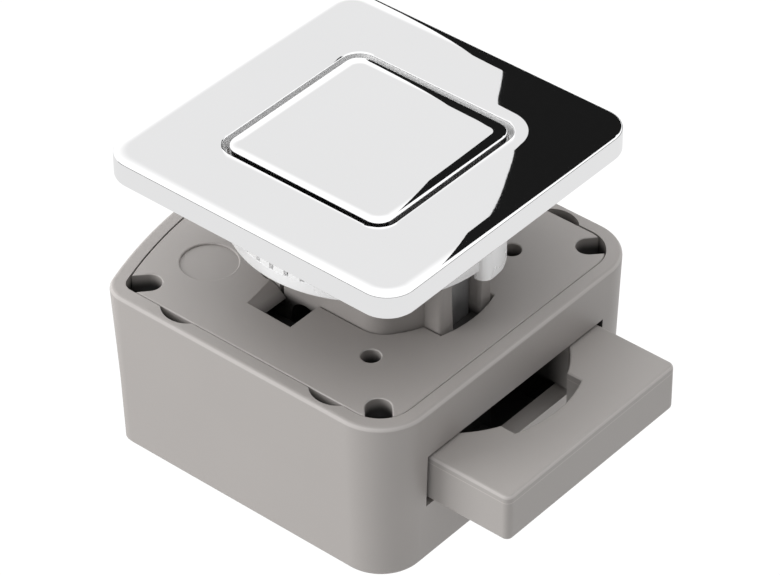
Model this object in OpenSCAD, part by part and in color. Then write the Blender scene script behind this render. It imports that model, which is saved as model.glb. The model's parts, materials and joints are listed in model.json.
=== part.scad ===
// Push button cabinet lock, shown locked: button flush, bolt out.
// Millimetres, +Z out of the door front, +X along the bolt.
// The origin is on the button axis, in the plane of the case's top face.

/* [Case] */
// Case width, across the bolt
case_w = 59.2; // [56:0.1:66]
// Front wall, from the button axis
case_front = 28.3; // [27:0.1:34]
// Rear wall at its furthest, from the button axis
case_rear = 31.8; // [31:0.1:38]
// Radius of the bowed rear wall
case_bow_r = 80; // [60:1:120]
// Room between the plunger and the case's floor
case_room = 3; // [1.2:0.1:8]
// Side wall thickness
wall = 2.4; // [1.8:0.1:2.8]
// Floor thickness
floor_t = 2.2; // [1.4:0.1:2.4]
// Front corner radius
front_corner_r = 8; // [6:0.1:10]
// Rear corner radius
rear_corner_r = 4.5; // [3.6:0.1:6]
// Cover thickness
cover_t = 1.8; // [1.2:0.1:2.2]
// Gap between the cover and the rim
seam_gap = 0.2; // [0.05:0.01:0.25]
// Cover screws, in from the front wall
screw_in_x = 6.2; // [5.8:0.1:6.6]
// Cover screws, in from the side walls
screw_in_y = 5.5; // [5.2:0.1:5.8]
// Radius of the screw notches
notch_r = 1.95; // [1.7:0.05:2.1]
// Depth of the screw seats
screw_seat = 5; // [3.8:0.1:6]

/* [Cover Details] */
// Radius of the pilot holes
pilot_r = 1.5; // [1.2:0.05:1.8]
// Depth of the pilot holes
pilot_depth = 8; // [5:0.1:8]
// Pilot hole place along X
pilot_x = 13.9; // [13:0.1:15]
// Pilot hole place along Y
pilot_y = 16.1; // [15.8:0.1:17]
// Window length
window_l = 8.5; // [6:0.1:9]
// Window width, outwards from the tower
window_w = 6.4; // [5:0.1:8]
// Window's front edge, from the button axis
window_front = 0.6; // [-0.4:0.1:1.4]
// Badge recess place along X, behind the button axis
badge_x = 18.6; // [17.5:0.1:19.5]
// Badge recess place along Y
badge_y = 14.8; // [14:0.1:16]
// Radius of the bare round badge recess
badge_r = 4.4; // [3:0.1:4.8]
// Depth of the bare round badge recess
badge_depth = 0.3; // [0.2:0.05:0.6]
// Width of the thumb reliefs in the rim
relief_w = 6.3; // [4:0.1:7.2]
// Depth of the thumb reliefs, into the rim
relief_in = 1.35; // [0.8:0.05:1.6]

/* [Guide Tower] */
// Tower radius
tower_r = 16.4; // [16:0.1:17]
// Flat sides of the tower, from the axis
tower_flat = 12.1; // [11.9:0.1:12.5]
// Radius of the tower's four soft corners
tower_corner_r = 5; // [2:0.1:6]
// Tower height above the case
tower_up = 12.8; // [11:0.1:13]
// Outer face of the guide posts, from the axis
post_x = 18.5; // [18.3:0.1:19]
// Half width of the guide posts
post_y = 5.9; // [5:0.1:6.4]
// Running gap around the moving pieces
slide_gap = 0.2; // [0.1:0.05:0.3]

/* [Bolt] */
// How far the bolt stands out
bolt_out = 14; // [12:0.1:14.3]
// Bolt width
bolt_w = 39.2; // [37:0.1:40]
// Bolt thickness
bolt_t = 8.4; // [7.6:0.1:9]
// Bolt's upper face, below the case's top face
bolt_top = 9.1; // [9:0.1:9.6]
// How far the bolt moves back
bolt_travel = 14.4; // [12:0.1:14.4]
// Front corner radius
bolt_corner_r = 1.2; // [1:0.1:3]
// Radius of the clearance for the tower
bolt_arc_r = 17.8; // [17.6:0.1:18.2]
// Radius of the clearance for the posts
bolt_notch_r = 20.2; // [20:0.1:20.8]
// Half width of the clearance for the posts
bolt_notch_y = 7.7; // [6.8:0.1:8.4]
// Radius of the drive pin
pin_r = 1.5; // [1.2:0.05:1.6]

/* [Button] */
// Button side
button_side = 30.3; // [29:0.1:30.6]
// Button corner radius
button_corner_r = 2.6; // [2.4:0.1:4]
// Button height
button_h = 9.4; // [9.2:0.1:9.6]
// Button wall thickness
button_wall = 1.4; // [1:0.1:1.6]
// How far the button springs out
button_travel = 9; // [8:0.1:9]
// Half thickness of the plunger blade
blade_y = 2.9; // [2.4:0.1:3.2]
// Half width of the plunger blade
blade_x = 16.6; // [16:0.1:17]

/* [Rosette] */
// Rosette side
plate_side = 55; // [52:0.5:60]
// Rosette thickness
plate_t = 4; // [3.6:0.1:5]
// Rosette corner radius
plate_corner_r = 4.8; // [3:0.1:8]
// Thickness of the door between case and rosette
door_t = 19.3; // [19:0.1:19.6]
// Gap round the button
button_gap = 0.65; // [0.4:0.05:0.8]
// Gap between the collar and the button's corners
collar_room = 0.15; // [0.1:0.05:0.6]
// Collar wall thickness
collar_wall = 0.8; // [0.6:0.05:0.9]
// Collar height below the rosette
collar_h = 9.5; // [8.5:0.1:10]
// Number of serrations on the collar
collar_teeth = 50; // [30:1:60]
// Lug height below the rosette
lug_h = 11.6; // [10.5:0.1:12.5]
// Lug thickness
lug_t = 1.3; // [0.8:0.1:1.8]

/* [Springs] */
// Wire radius of the plunger springs
plunger_wire_r = 0.35; // [0.25:0.05:0.4]
// Outer radius of the plunger springs
plunger_coil_r = 2.9; // [2.4:0.1:3]
// Curls of the plunger springs
plunger_curls = 8; // [6:1:12]
// Wire radius of the bolt springs
bolt_wire_r = 0.3; // [0.25:0.05:0.4]
// Outer radius of the bolt springs
bolt_coil_r = 2.2; // [1.8:0.1:2.3]
// Curls of the bolt springs
bolt_curls = 11; // [8:1:14]

/* [Hidden] */
$fn = 96;
eps = 0.01;
fit = 0.05;
plastic = [0.68, 0.66, 0.64];
chrome = [0.86, 0.87, 0.88];
zinc = [0.42, 0.42, 0.42];
steel = [0.62, 0.63, 0.65];
dark_plastic = [0.2, 0.2, 0.21];

plate_z = door_t;
recess_t = 1.6;
half_w = case_w / 2;
screw_x = case_front - screw_in_x;
screw_y = half_w - screw_in_y;
bow_x = case_bow_r - case_rear;
cover_inset = wall + seam_gap;
window_ramp = 2.2;

bolt_end = case_front + bolt_out;
bolt_bottom = bolt_top + bolt_t;
bolt_mid = bolt_top + bolt_t / 2;
arm_in = tower_flat + 0.6;
arm_y = (arm_in + bolt_w / 2) / 2;
arc_x = bolt_travel + 0.8;
guide_x = case_front - 3.5;
rib_in = bolt_w / 2 + slide_gap;
rib_t = 1.4;
rib_top = bolt_top - 1.1;
seat_x = -26.8;
slot_side = 0.7;
slot_low = 0.7;
slot_high = 0.5;
arm_end = seat_x + 0.4 + bolt_travel;
pocket_r = bolt_coil_r + 0.3;
pocket_end = 4;

ratio = bolt_travel / button_travel;
pin_z = -(bolt_top + pin_r + 1.2);
pin_x = bolt_travel / 2;
pin_gap = 0.1;
groove_y = blade_y + slide_gap;
groove_x = blade_x + 0.15;
blade_low = pin_z - button_travel - pin_r - 1.3;
floor_z = blade_low - case_room;
case_h = floor_t - floor_z;
blade_high = plate_z + recess_t - button_travel - 0.5;
ear_from = -9.5;
ear_to = 4;
ear_t = 2.1;
ear_high = bolt_top - 5;
ear_low = bolt_top - 5.8;
shoulder_t = 1.6;
well_x = 6.5;
well_y = 7.6;
well_r = plunger_coil_r + 0.7;
well_z = pin_z + pin_r + 1.4;

plate_top = door_t + plate_t;
open_side = button_side + 2 * button_gap;
corner_reach = sqrt(2) * (button_side / 2 - button_corner_r) + button_corner_r;
collar_in = corner_reach + collar_room;
collar_r = collar_in + collar_wall;
recess_z = plate_z + recess_t;
rim_w = 2.2;
lug_from = -2.5;
lug_to = 11.5;
tooth_h = 5.2;
tooth_z = collar_h - 2.3 - tooth_h;
tooth_deep = 0.35;

cap_low = plate_top - button_h;
head_r = 12.9;
neck_x = head_r - 0.4;
head_t = 2;
head_z = cap_low;
cap_in = button_side / 2 - button_wall;
cap_top_t = 1.5;
carrier_low = head_z + head_t;
carrier_high = plate_top - cap_top_t - fit;
carrier_half = cap_in - 0.15;
carrier_floor_t = 2;
carrier_bore_r = 3.2;
carrier_screw_r = 1.2;
carrier_screw_l = 9.9;

track_x = -2.25;
track_z = -4.25;
track_half = 2.2;
track_deep = 1.6;
wire_r = 0.3;
island_half = 1;
island_l = button_travel - 2.2;
stem_y = 4.6;
stem_up = tower_up - 1.2;
hook = 3.8;
port_r = 2.6;
port_drop = 2.6;

boss_r = 3.4;
cover_pad_low = screw_seat + 2;
cover_screw_r = 1.2;
cover_head_r = notch_r - 0.15;
cover_head_t = 1.4;
cover_thread_l = 10;

clip_t = 0.5;
clip_w = 8;
clip_room = 0.104;
clip_end = 1.9;
clip_side_gap = 0.4;
clip_out = sqrt(pow(collar_in, 2) - pow(clip_w / 2, 2)) - clip_room;
clip_peg_y = clip_out - clip_end;
clip_boss_r = 2.1;
clip_foot_z = plate_z + 0.3;
clip_screw_r = 0.9;
clip_screw_l = 2.8;
clip_head_r = 1.8;

guide_r = 1.1;
guide_len = 12;

// Flat outlines

module rounded_square(side, r) {
    square([side, side - 2 * r], center = true);
    square([side - 2 * r, side], center = true);
    for (sx = [-1, 1]) {
        for (sy = [-1, 1]) {
            translate([sx * (side / 2 - r), sy * (side / 2 - r)])
                circle(r);
        }
    }
}

// The case seen from above, drawn in all round by inset
module case_outline(inset = 0) {
    y = half_w - rear_corner_r;
    x = bow_x - sqrt(pow(case_bow_r - rear_corner_r, 2) - y * y);
    slope = y / (bow_x - x);
    far = case_rear + 10;
    intersection() {
        translate([bow_x, 0])
            circle(case_bow_r - inset, $fn = 240);
        polygon([
            [0, bow_x * slope],
            [-far, (bow_x + far) * slope],
            [-far, -(bow_x + far) * slope],
            [0, -bow_x * slope]
        ]);
    }
    translate([x, inset - half_w])
        square([case_front - front_corner_r - x, case_w - 2 * inset]);
    translate([x, front_corner_r - half_w])
        square([case_front - inset - x, case_w - 2 * front_corner_r]);
    for (s = [-1, 1]) {
        translate([x, s * y])
            circle(rear_corner_r - inset);
        translate([case_front - front_corner_r, s * (half_w - front_corner_r)])
            circle(front_corner_r - inset);
    }
}

// The tower and its posts seen from above, drawn out all round by grow
module tower_outline(grow = 0) {
    y = tower_flat - tower_corner_r;
    x = sqrt(pow(tower_r - tower_corner_r, 2) - y * y);
    square([2 * x, 2 * (tower_flat + grow)], center = true);
    intersection() {
        circle(tower_r + grow);
        polygon([[0, 0], [3 * x, 3 * y], [3 * x, -3 * y]]);
    }
    intersection() {
        circle(tower_r + grow);
        polygon([[0, 0], [-3 * x, 3 * y], [-3 * x, -3 * y]]);
    }
    for (sx = [-1, 1]) {
        for (sy = [-1, 1]) {
            translate([sx * x, sy * y])
                circle(tower_corner_r + grow);
        }
    }
    intersection() {
        circle(norm([post_x, post_y]) + grow);
        square([2 * (post_x + (grow > 0 ? 2 : 0)), 2 * (post_y + grow)], center = true);
    }
}

// A straight channel with round ends, from one point to another
module channel(x0, z0, x1, z1, r) {
    len = norm([x1 - x0, z1 - z0]);
    rotate([90, 0, 0])
        translate([x0, z0, 0])
            rotate([0, 0, atan2(z1 - z0, x1 - x0)])
                linear_extrude(3 * case_w, center = true) {
                    circle(r, $fn = 48);
                    translate([len, 0])
                        circle(r, $fn = 48);
                    translate([0, -r])
                        square([len, 2 * r]);
                }
}

module corners() {
    for (sx = [-1, 1]) {
        for (sy = [-1, 1]) {
            translate([sx * screw_x, sy * screw_y])
                rotate([0, 0, atan2(sy * screw_y, sx * screw_x)])
                    children();
        }
    }
}

// Coil springs

// One point of a coil's centre line, t turns from its start
function coil_point(r, pitch, t) = [r * cos(360 * t), r * sin(360 * t), pitch * t];

// A ring of the wire's skin, t turns from the start
function coil_ring(r, pitch, wire, t, sides) =
    let (
        along = [-2 * PI * r * sin(360 * t), 2 * PI * r * cos(360 * t), pitch],
        out = [cos(360 * t), sin(360 * t), 0],
        side = cross(along / norm(along), out)
    )
    [for (k = [0:sides - 1])
        coil_point(r, pitch, t)
            + wire * (cos(360 * k / sides) * out + sin(360 * k / sides) * side)];

// Least gap between one curl and the next, on points half a turn apart or more
function coil_gap(r, pitch, wire, curls) =
    min([for (t = [0.5:0.05:min(curls, 2)])
        norm(coil_point(r, pitch, t) - coil_point(r, pitch, 0)) - 2 * wire]);

module coil(outer_r, wire, curls, length) {
    sides = 6;
    rings = 8 * curls;
    r = outer_r - wire;
    pitch = (length - 2 * wire) / curls;
    points = [for (i = [0:rings]) each coil_ring(r, pitch, wire, i / 8, sides)];
    skin = [for (i = [0:rings - 1]) for (k = [0:sides - 1])
        let (
            a = i * sides + k,
            b = i * sides + (k + 1) % sides,
            c = a + sides,
            d = b + sides
        )
        each [[a, b, c], [b, d, c]]];
    start = [for (k = [1:sides - 2]) [0, k + 1, k]];
    last = rings * sides;
    end = [for (k = [1:sides - 2]) [last, last + k, last + k + 1]];
    echo("least gap of the coil", coil_gap(r, pitch, wire, curls));
    translate([0, 0, wire])
        polyhedron(points = points, faces = concat(skin, start, end));
}

// Case

module case_housing() {
    color(plastic)
        difference() {
            union() {
                difference() {
                    translate([0, 0, -case_h])
                        linear_extrude(case_h)
                            case_outline();
                    translate([0, 0, floor_z])
                        linear_extrude(case_h)
                            case_outline(wall);
                }
                bolt_guides();
                tower_stops();
                intersection() {
                    translate([0, 0, floor_z - 1])
                        linear_extrude(-floor_z + 1 - cover_pad_low - fit)
                            case_outline(wall / 2);
                    for (sx = [-1, 1]) {
                        for (sy = [-1, 1]) {
                            translate([sx * screw_x, sy * screw_y, floor_z - eps])
                                cylinder(r = boss_r, h = -floor_z - cover_pad_low - fit);
                        }
                    }
                }
            }
            translate([guide_x - eps, -(bolt_w / 2 + slot_side), -bolt_bottom - slot_low])
                cube([case_front, bolt_w + 2 * slot_side, bolt_t + slot_low + slot_high]);
            for (sx = [-1, 1]) {
                for (sy = [-1, 1]) {
                    translate([sx * screw_x, sy * screw_y, -cover_pad_low - 12])
                        cylinder(r = cover_screw_r + fit / 2, h = case_h);
                }
            }
            thumb_reliefs();
            for (s = [-1, 1]) {
                translate([seat_x - 1.5, s * arm_y, -bolt_mid])
                    rotate([0, 90, 0])
                        cylinder(r = guide_r + fit / 2, h = 5, $fn = 48);
            }
        }
}

// Ribs beside and below the bolt, the thick wall at its slot and the spring seats
module bolt_guides() {
    rib_from = seat_x - 0.5;
    side = rib_in + rib_t;
    for (s = [-1, 1]) {
        translate([rib_from, s > 0 ? rib_in : -rib_in - rib_t, floor_z - eps])
            cube([guide_x - rib_from + 1, rib_t, -floor_z - rib_top]);
        translate([rib_from, s > 0 ? arm_y : -rib_in - eps, floor_z - eps])
            cube([guide_x - rib_from + 1, rib_in - arm_y + eps, -floor_z - bolt_bottom - 0.1]);
        translate([-case_rear + wall + 1, s > 0 ? arm_in : -side, floor_z - eps])
            intersection() {
                cube([seat_x + case_rear - wall - 1, side - arm_in, -floor_z - bolt_top]);
                translate([case_rear - wall - 1, s > 0 ? -arm_in : side, 0])
                    linear_extrude(case_h)
                        case_outline(wall / 2);
            }
    }
    translate([guide_x, -rib_in - rib_t, floor_z - eps])
        cube([case_front - wall - guide_x + eps, 2 * (rib_in + rib_t), -floor_z - rib_top]);
}

// Low ribs on the floor that hold the tower's foot
module tower_stops() {
    h = 3;
    for (s = [-1, 1]) {
        translate([s > 0 ? post_x + fit : -post_x - fit - 1.5, -4, floor_z - eps])
            cube([1.5, 8, h]);
        translate([-6, s > 0 ? tower_flat + fit : -tower_flat - fit - 1.2, floor_z - eps])
            cube([12, 1.2, h]);
    }
}

// Half moons in the rim beside the cover
module thumb_reliefs() {
    r = (pow(relief_w / 2, 2) + pow(relief_in, 2)) / (2 * relief_in);
    for (x = [-pilot_x, pilot_x + 0.9]) {
        for (s = [-1, 1]) {
            intersection() {
                translate([x, s * (half_w - wall + relief_in - r), -3])
                    cylinder(r = r, h = 4);
                translate([x - relief_w, s > 0 ? half_w - wall - 0.2 : wall - half_w - 3, -4])
                    cube([2 * relief_w, 3.2, 5]);
            }
        }
    }
}

module cover_plate() {
    color(plastic)
        difference() {
            union() {
                translate([0, 0, -cover_t])
                    linear_extrude(cover_t)
                        case_outline(cover_inset);
                intersection() {
                    translate([0, 0, -cover_pad_low])
                        linear_extrude(cover_pad_low - eps)
                            case_outline(cover_inset);
                    for (sx = [-1, 1]) {
                        for (sy = [-1, 1]) {
                            translate([sx * screw_x, sy * screw_y, -cover_pad_low])
                                cylinder(r = boss_r - 0.2, h = cover_pad_low - eps);
                        }
                    }
                }
                for (s = [-1, 1]) {
                    translate([pilot_x, s * pilot_y, -pilot_depth - 0.6])
                        cylinder(r = pilot_r + 1.4, h = pilot_depth + 0.5);
                }
            }
            translate([0, 0, -case_h])
                linear_extrude(2 * case_h)
                    tower_outline(slide_gap);
            corners() {
                translate([0, 0, -screw_seat])
                    cylinder(r = notch_r, h = case_h);
                translate([0, -notch_r, -screw_seat])
                    cube([4, 2 * notch_r, case_h]);
                translate([0, 0, -case_h])
                    cylinder(r = cover_screw_r + 0.15, h = case_h);
            }
            for (s = [-1, 1]) {
                translate([pilot_x, s * pilot_y, -pilot_depth])
                    cylinder(r = pilot_r, h = case_h, $fn = 48);
            }
            window();
            translate([-badge_x, -badge_y, -badge_depth])
                cylinder(r = badge_r, h = case_h);
        }
}

// Opening beside the tower, with a ramp down into it from the rear
module window() {
    low = window_ramp - window_l;
    translate([window_front, -tower_flat - window_w, 0])
        rotate([90, 0, 0])
            translate([0, 0, -window_w - 1])
                linear_extrude(window_w + 1)
                    polygon([
                        [0, -cover_t - 1],
                        [0, 1],
                        [-window_l, 1],
                        [-window_l, 0.001],
                        [low, -cover_t - 0.001],
                        [low, -cover_t - 1]
                    ]);
}

module cover_screws() {
    color(steel)
        corners()
            difference() {
                union() {
                    translate([0, 0, -screw_seat + fit])
                        cylinder(r = cover_head_r, h = cover_head_t);
                    translate([0, 0, -cover_pad_low - cover_thread_l])
                        cylinder(r = cover_screw_r, h = cover_thread_l + cover_pad_low - screw_seat + 2 * fit);
                }
                for (a = [0, 90]) {
                    rotate([0, 0, a])
                        translate([-1.2, -0.25, -screw_seat + 0.7])
                            cube([2.4, 0.5, 2]);
                }
            }
}

// Guide tower

module guide_tower() {
    foot = floor_z + fit;
    color(plastic)
        difference() {
            union() {
                translate([0, 0, foot])
                    linear_extrude(tower_up - foot)
                        tower_outline();
                intersection() {
                    translate([0, 0, -cover_t - fit - shoulder_t])
                        cylinder(r = tower_r + 1.8, h = shoulder_t);
                    translate([0, 0, -case_h / 2])
                        cube([3 * tower_r, 2 * tower_flat, case_h], center = true);
                }
            }
            translate([-groove_x, -groove_y, foot - 1])
                cube([2 * groove_x, 2 * groove_y, case_h + tower_up]);
            translate([-tower_r * 2, -groove_y, -cover_t - fit - 0.4])
                cube([tower_r * 4, 2 * groove_y, case_h]);
            channel(-pin_x, pin_z, pin_x, pin_z, pin_r + 0.4);
            for (s = [-1, 1]) {
                translate([s * well_x, -s * well_y, well_z])
                    cylinder(r = well_r, h = case_h);
            }
            follower_room();
            for (s = [-1, 1]) {
                for (i = [0:3]) {
                    translate([-5, s > 0 ? tower_flat - 0.35 : -tower_flat - 1, tower_up - 1.2 - i])
                        cube([10, 1.35, 0.45]);
                }
            }
            translate([-7.1, -tower_flat - 1, -cover_t - fit - shoulder_t])
                cube([0.8, 1.9, case_h]);
        }
}

// Port in the tower's side, the follower's channel and the hole that it turns in
module follower_room() {
    translate([track_x, 0, track_z])
        rotate([90, 0, 0])
            cylinder(r = port_r, h = 2 * tower_flat, $fn = 48);
    translate([track_x - port_r, -2 * tower_flat, track_z - port_drop])
        cube([2 * port_r, 2 * tower_flat, port_drop]);
    translate([track_x - port_r, -stem_y - wire_r - 0.5, track_z - wire_r - 0.6])
        cube([2 * port_r, stem_y + wire_r + 0.5, stem_up - track_z + 2 * wire_r + 1.2]);
    translate([track_x, -stem_y, stem_up])
        rotate([90, 0, 0])
            cylinder(r = wire_r + fit, h = hook + 0.2, $fn = 48);
}

// Springy wire: its upper end is hooked into the tower, its lower end runs in the track
module track_follower() {
    color(steel)
        translate([track_x, 0, 0]) {
            translate([0, -stem_y, track_z])
                cylinder(r = wire_r, h = stem_up - track_z, $fn = 32);
            for (z = [track_z, stem_up]) {
                translate([0, -stem_y, z])
                    sphere(r = wire_r, $fn = 32);
            }
            translate([0, -stem_y, track_z])
                rotate([-90, 0, 0])
                    cylinder(r = wire_r, h = stem_y - blade_y + track_deep - 0.2, $fn = 32);
            translate([0, -stem_y, stem_up])
                rotate([90, 0, 0])
                    cylinder(r = wire_r, h = hook, $fn = 32);
        }
}

// Flat spring that keeps the follower pressed into the track
module follower_leaf() {
    y = stem_y + wire_r + fit;
    color(steel)
        translate([track_x - 1.5, -y - 0.4, track_z + 2])
            cube([3, 0.4, 8]);
}

// Plunger

// The raised island that the follower travels round, with the notch that holds it
module track_island() {
    polygon([
        [track_x, track_z - wire_r - 0.15],
        [track_x + island_half, track_z + 0.4],
        [track_x + island_half, track_z - 1.6],
        [track_x, track_z - island_l],
        [track_x - island_half, track_z - 1.6],
        [track_x - island_half, track_z + 0.4]
    ]);
}

module plunger() {
    track_low = track_z - button_travel - 1.2;
    track_high = track_z + 2;
    color(zinc)
        difference() {
            union() {
                rotate([90, 0, 0])
                    linear_extrude(2 * blade_y, center = true)
                        polygon([
                            [-blade_x, blade_low + 1.5],
                            [-blade_x + 1.5, blade_low],
                            [blade_x - 1.5, blade_low],
                            [blade_x, blade_low + 1.5],
                            [blade_x, blade_high],
                            [neck_x, blade_high],
                            [neck_x, head_z + eps],
                            [-neck_x, head_z + eps],
                            [-neck_x, blade_high],
                            [-blade_x, blade_high]
                        ]);
                translate([0, 0, head_z])
                    cylinder(r = head_r, h = head_t);
            }
            channel(pin_x, pin_z, -pin_x, pin_z - button_travel, pin_r + pin_gap);
            rotate([90, 0, 0])
                translate([0, 0, blade_y - track_deep])
                    linear_extrude(track_deep + 1)
                        difference() {
                            translate([track_x - track_half, track_low])
                                square([2 * track_half, track_high - track_low]);
                            track_island();
                        }
            translate([0, 0, carrier_low - carrier_screw_l - 3])
                cylinder(r = carrier_screw_r + fit, h = case_h, $fn = 48);
        }
}

module plunger_spring(s) {
    color(steel)
        translate([s * well_x, -s * well_y, well_z + fit])
            coil(plunger_coil_r, plunger_wire_r, plunger_curls, head_z - well_z - 2 * fit);
}

// Bolt

module bolt() {
    x0 = bolt_end - bolt_corner_r;
    half = bolt_w / 2;
    color(plastic)
        difference() {
            union() {
                bolt_block(x0, half);
                bolt_ears();
            }
            for (s = [-1, 1]) {
                translate([arm_end - 1, s * arm_y, -bolt_mid])
                    rotate([0, 90, 0])
                        cylinder(r = pocket_r, h = pocket_end - arm_end + 1, $fn = 48);
            }
            translate([pin_x, 0, pin_z])
                rotate([90, 0, 0])
                    cylinder(r = pin_r + fit, h = 2 * bolt_w, center = true, $fn = 48);
            translate([pin_x - pin_r - fit, -bolt_w, pin_z])
                cube([2 * (pin_r + fit), 2 * bolt_w, bolt_t]);
        }
}

// The bolt's plate, cut away round the tower
module bolt_block(x0, half) {
    translate([0, 0, -bolt_bottom])
        linear_extrude(bolt_t)
            difference() {
                union() {
                    translate([arm_end, -half])
                        square([x0 - arm_end, bolt_w]);
                    translate([arm_end, bolt_corner_r - half])
                        square([bolt_end - arm_end, bolt_w - 2 * bolt_corner_r]);
                    for (s = [-1, 1]) {
                        translate([x0, s * (half - bolt_corner_r)])
                            circle(bolt_corner_r, $fn = 48);
                    }
                }
                intersection() {
                    translate([arc_x, 0])
                        circle(bolt_arc_r);
                    translate([arc_x, 0])
                        square([4 * bolt_arc_r, 2 * arm_in], center = true);
                }
                intersection() {
                    translate([arc_x, 0])
                        circle(bolt_notch_r);
                    translate([arc_x, -bolt_notch_y])
                        square([2 * bolt_notch_r, 2 * bolt_notch_y]);
                }
                translate([arm_end - 1, -arm_in])
                    square([arc_x - arm_end + 1, 2 * arm_in]);
            }
}

// Low walls on the arms, beside the tower
module bolt_ears() {
    for (s = [-1, 1]) {
        translate([0, s > 0 ? arm_in + ear_t : -arm_in, 0])
            rotate([90, 0, 0])
                linear_extrude(ear_t)
                    polygon([
                        [ear_from, -bolt_top - 1],
                        [ear_to, -bolt_top - 1],
                        [ear_to, -bolt_top + ear_high],
                        [-3.7, -bolt_top + ear_high],
                        [ear_from, -bolt_top + ear_low]
                    ]);
    }
}

module drive_pin() {
    color(steel)
        translate([pin_x, 0, pin_z])
            rotate([90, 0, 0])
                cylinder(r = pin_r, h = bolt_w - 0.4, center = true, $fn = 48);
}

module bolt_spring(s) {
    color(steel)
        translate([seat_x + fit, s * arm_y, -bolt_mid])
            rotate([0, 90, 0])
                coil(bolt_coil_r, bolt_wire_r, bolt_curls, pocket_end - seat_x - 2 * fit);
}

module spring_guide(s) {
    color(steel)
        translate([seat_x - 1.5, s * arm_y, -bolt_mid])
            rotate([0, 90, 0])
                cylinder(r = guide_r, h = guide_len + 1.5, $fn = 48);
}

// Rosette

module rosette_plate() {
    color(chrome)
        difference() {
            union() {
                difference() {
                    translate([0, 0, plate_z])
                        linear_extrude(plate_t)
                            rounded_square(plate_side, plate_corner_r);
                    translate([0, 0, plate_z - 1])
                        linear_extrude(recess_t + 1)
                            rounded_square(plate_side - 2 * rim_w, plate_corner_r - rim_w / 2);
                }
                collar();
                for (s = [-1, 1]) {
                    translate([0, s * clip_peg_y, clip_foot_z + clip_t])
                        cylinder(r = clip_boss_r, h = recess_z - clip_foot_z - clip_t + 1, $fn = 48);
                }
            }
            translate([0, 0, plate_z - 1])
                linear_extrude(plate_t + 2)
                    rounded_square(open_side, button_corner_r + button_gap);
            for (s = [-1, 1]) {
                translate([0, s * clip_peg_y, clip_foot_z])
                    cylinder(r = clip_screw_r + fit / 2, h = 3, $fn = 32);
            }
        }
}

// Ring below the plate, with fine serrations and two lugs
module collar() {
    low = plate_z - collar_h;
    step = 360 / collar_teeth;
    difference() {
        union() {
            translate([0, 0, low])
                cylinder(r = collar_r, h = recess_z - low + 1, $fn = 180);
            lugs();
        }
        translate([0, 0, low - 5])
            cylinder(r = collar_in, h = recess_z - low + 7, $fn = 180);
        difference() {
            translate([0, 0, low + 2.3])
                cylinder(r = collar_r + 3, h = tooth_h);
            translate([0, 0, low])
                linear_extrude(collar_h)
                    union() {
                        polygon([for (i = [0:collar_teeth - 1]) each [
                            collar_r * [cos(i * step), sin(i * step)],
                            (collar_r - tooth_deep) * [cos(i * step + 0.5), sin(i * step + 0.5)]
                        ]]);
                        circle(collar_r - tooth_deep);
                        for (a = [0, 180]) {
                            rotate([0, 0, a])
                                lug_outline();
                        }
                    }
        }
    }
}

module lug_outline() {
    r = collar_r + lug_t + 4;
    intersection() {
        circle(collar_r + lug_t);
        polygon([
            [0, 0],
            r * [cos(lug_from), sin(lug_from)],
            r * [cos((lug_from + lug_to) / 2), sin((lug_from + lug_to) / 2)],
            r * [cos(lug_to), sin(lug_to)]
        ]);
    }
}

module lugs() {
    for (a = [0, 180]) {
        rotate([0, 0, a])
            translate([0, 0, plate_z - lug_h])
                linear_extrude(lug_h + recess_t + 1)
                    lug_outline();
    }
}

// Bent strip that grips the tower's flat side
module rosette_clip(s) {
    top = clip_foot_z + clip_t;
    outer = clip_out;
    inner = button_side / 2 + clip_side_gap;
    tip = tower_flat + fit;
    grip = tower_up - 1.6;
    bend = cap_low - 0.6;
    color(steel)
        rotate([0, 0, s > 0 ? 180 : 0])
            difference() {
                translate([-clip_w / 2, 0, 0])
                    rotate([90, 0, 90])
                        linear_extrude(clip_w)
                            polygon([
                                [-outer, top],
                                [-inner, top],
                                [-inner, bend],
                                [-tip, grip + 0.5],
                                [-tip, grip - 0.6],
                                [-tip - clip_t, grip - 0.6],
                                [-tip - clip_t, grip],
                                [-inner - clip_t, bend - 0.4],
                                [-inner - clip_t, top - clip_t],
                                [-outer, top - clip_t]
                            ]);
                translate([0, -clip_peg_y, clip_foot_z - 1])
                    cylinder(r = clip_screw_r + 0.15, h = clip_screw_l + 1, $fn = 32);
            }
}

module clip_screws() {
    color(steel)
        for (s = [-1, 1]) {
            translate([0, s * clip_peg_y, 0]) {
                translate([0, 0, clip_foot_z - fit - clip_screw_r])
                    cylinder(r = clip_head_r, h = clip_screw_r, $fn = 32);
                translate([0, 0, clip_foot_z - fit - eps])
                    cylinder(r = clip_screw_r, h = clip_screw_l, $fn = 32);
            }
        }
}

// Button

module button_carrier() {
    side = 2 * carrier_half;
    r = button_corner_r - button_wall;
    color(dark_plastic)
        difference() {
            translate([0, 0, carrier_low])
                linear_extrude(carrier_high - carrier_low)
                    rounded_square(side, r);
            translate([0, 0, carrier_low + carrier_floor_t])
                linear_extrude(case_h)
                    difference() {
                        rounded_square(side - 2.4, r);
                        circle(carrier_bore_r + 1.4);
                    }
            translate([0, 0, carrier_low - 1])
                cylinder(r = carrier_screw_r + 0.4, h = case_h, $fn = 48);
            translate([0, 0, carrier_low + carrier_floor_t])
                cylinder(r = carrier_bore_r, h = case_h, $fn = 48);
        }
}

module carrier_screw() {
    color(steel)
        difference() {
            union() {
                translate([0, 0, carrier_low + carrier_floor_t + fit])
                    cylinder(r = carrier_bore_r - 0.4, h = 1.8, $fn = 48);
                translate([0, 0, carrier_low - carrier_screw_l])
                    cylinder(r = carrier_screw_r, h = carrier_screw_l + carrier_floor_t + 1, $fn = 48);
            }
            for (a = [0, 90]) {
                rotate([0, 0, a])
                    translate([-1.6, -0.3, carrier_low + carrier_floor_t + 0.9])
                        cube([3.2, 0.6, 3]);
            }
        }
}

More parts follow.
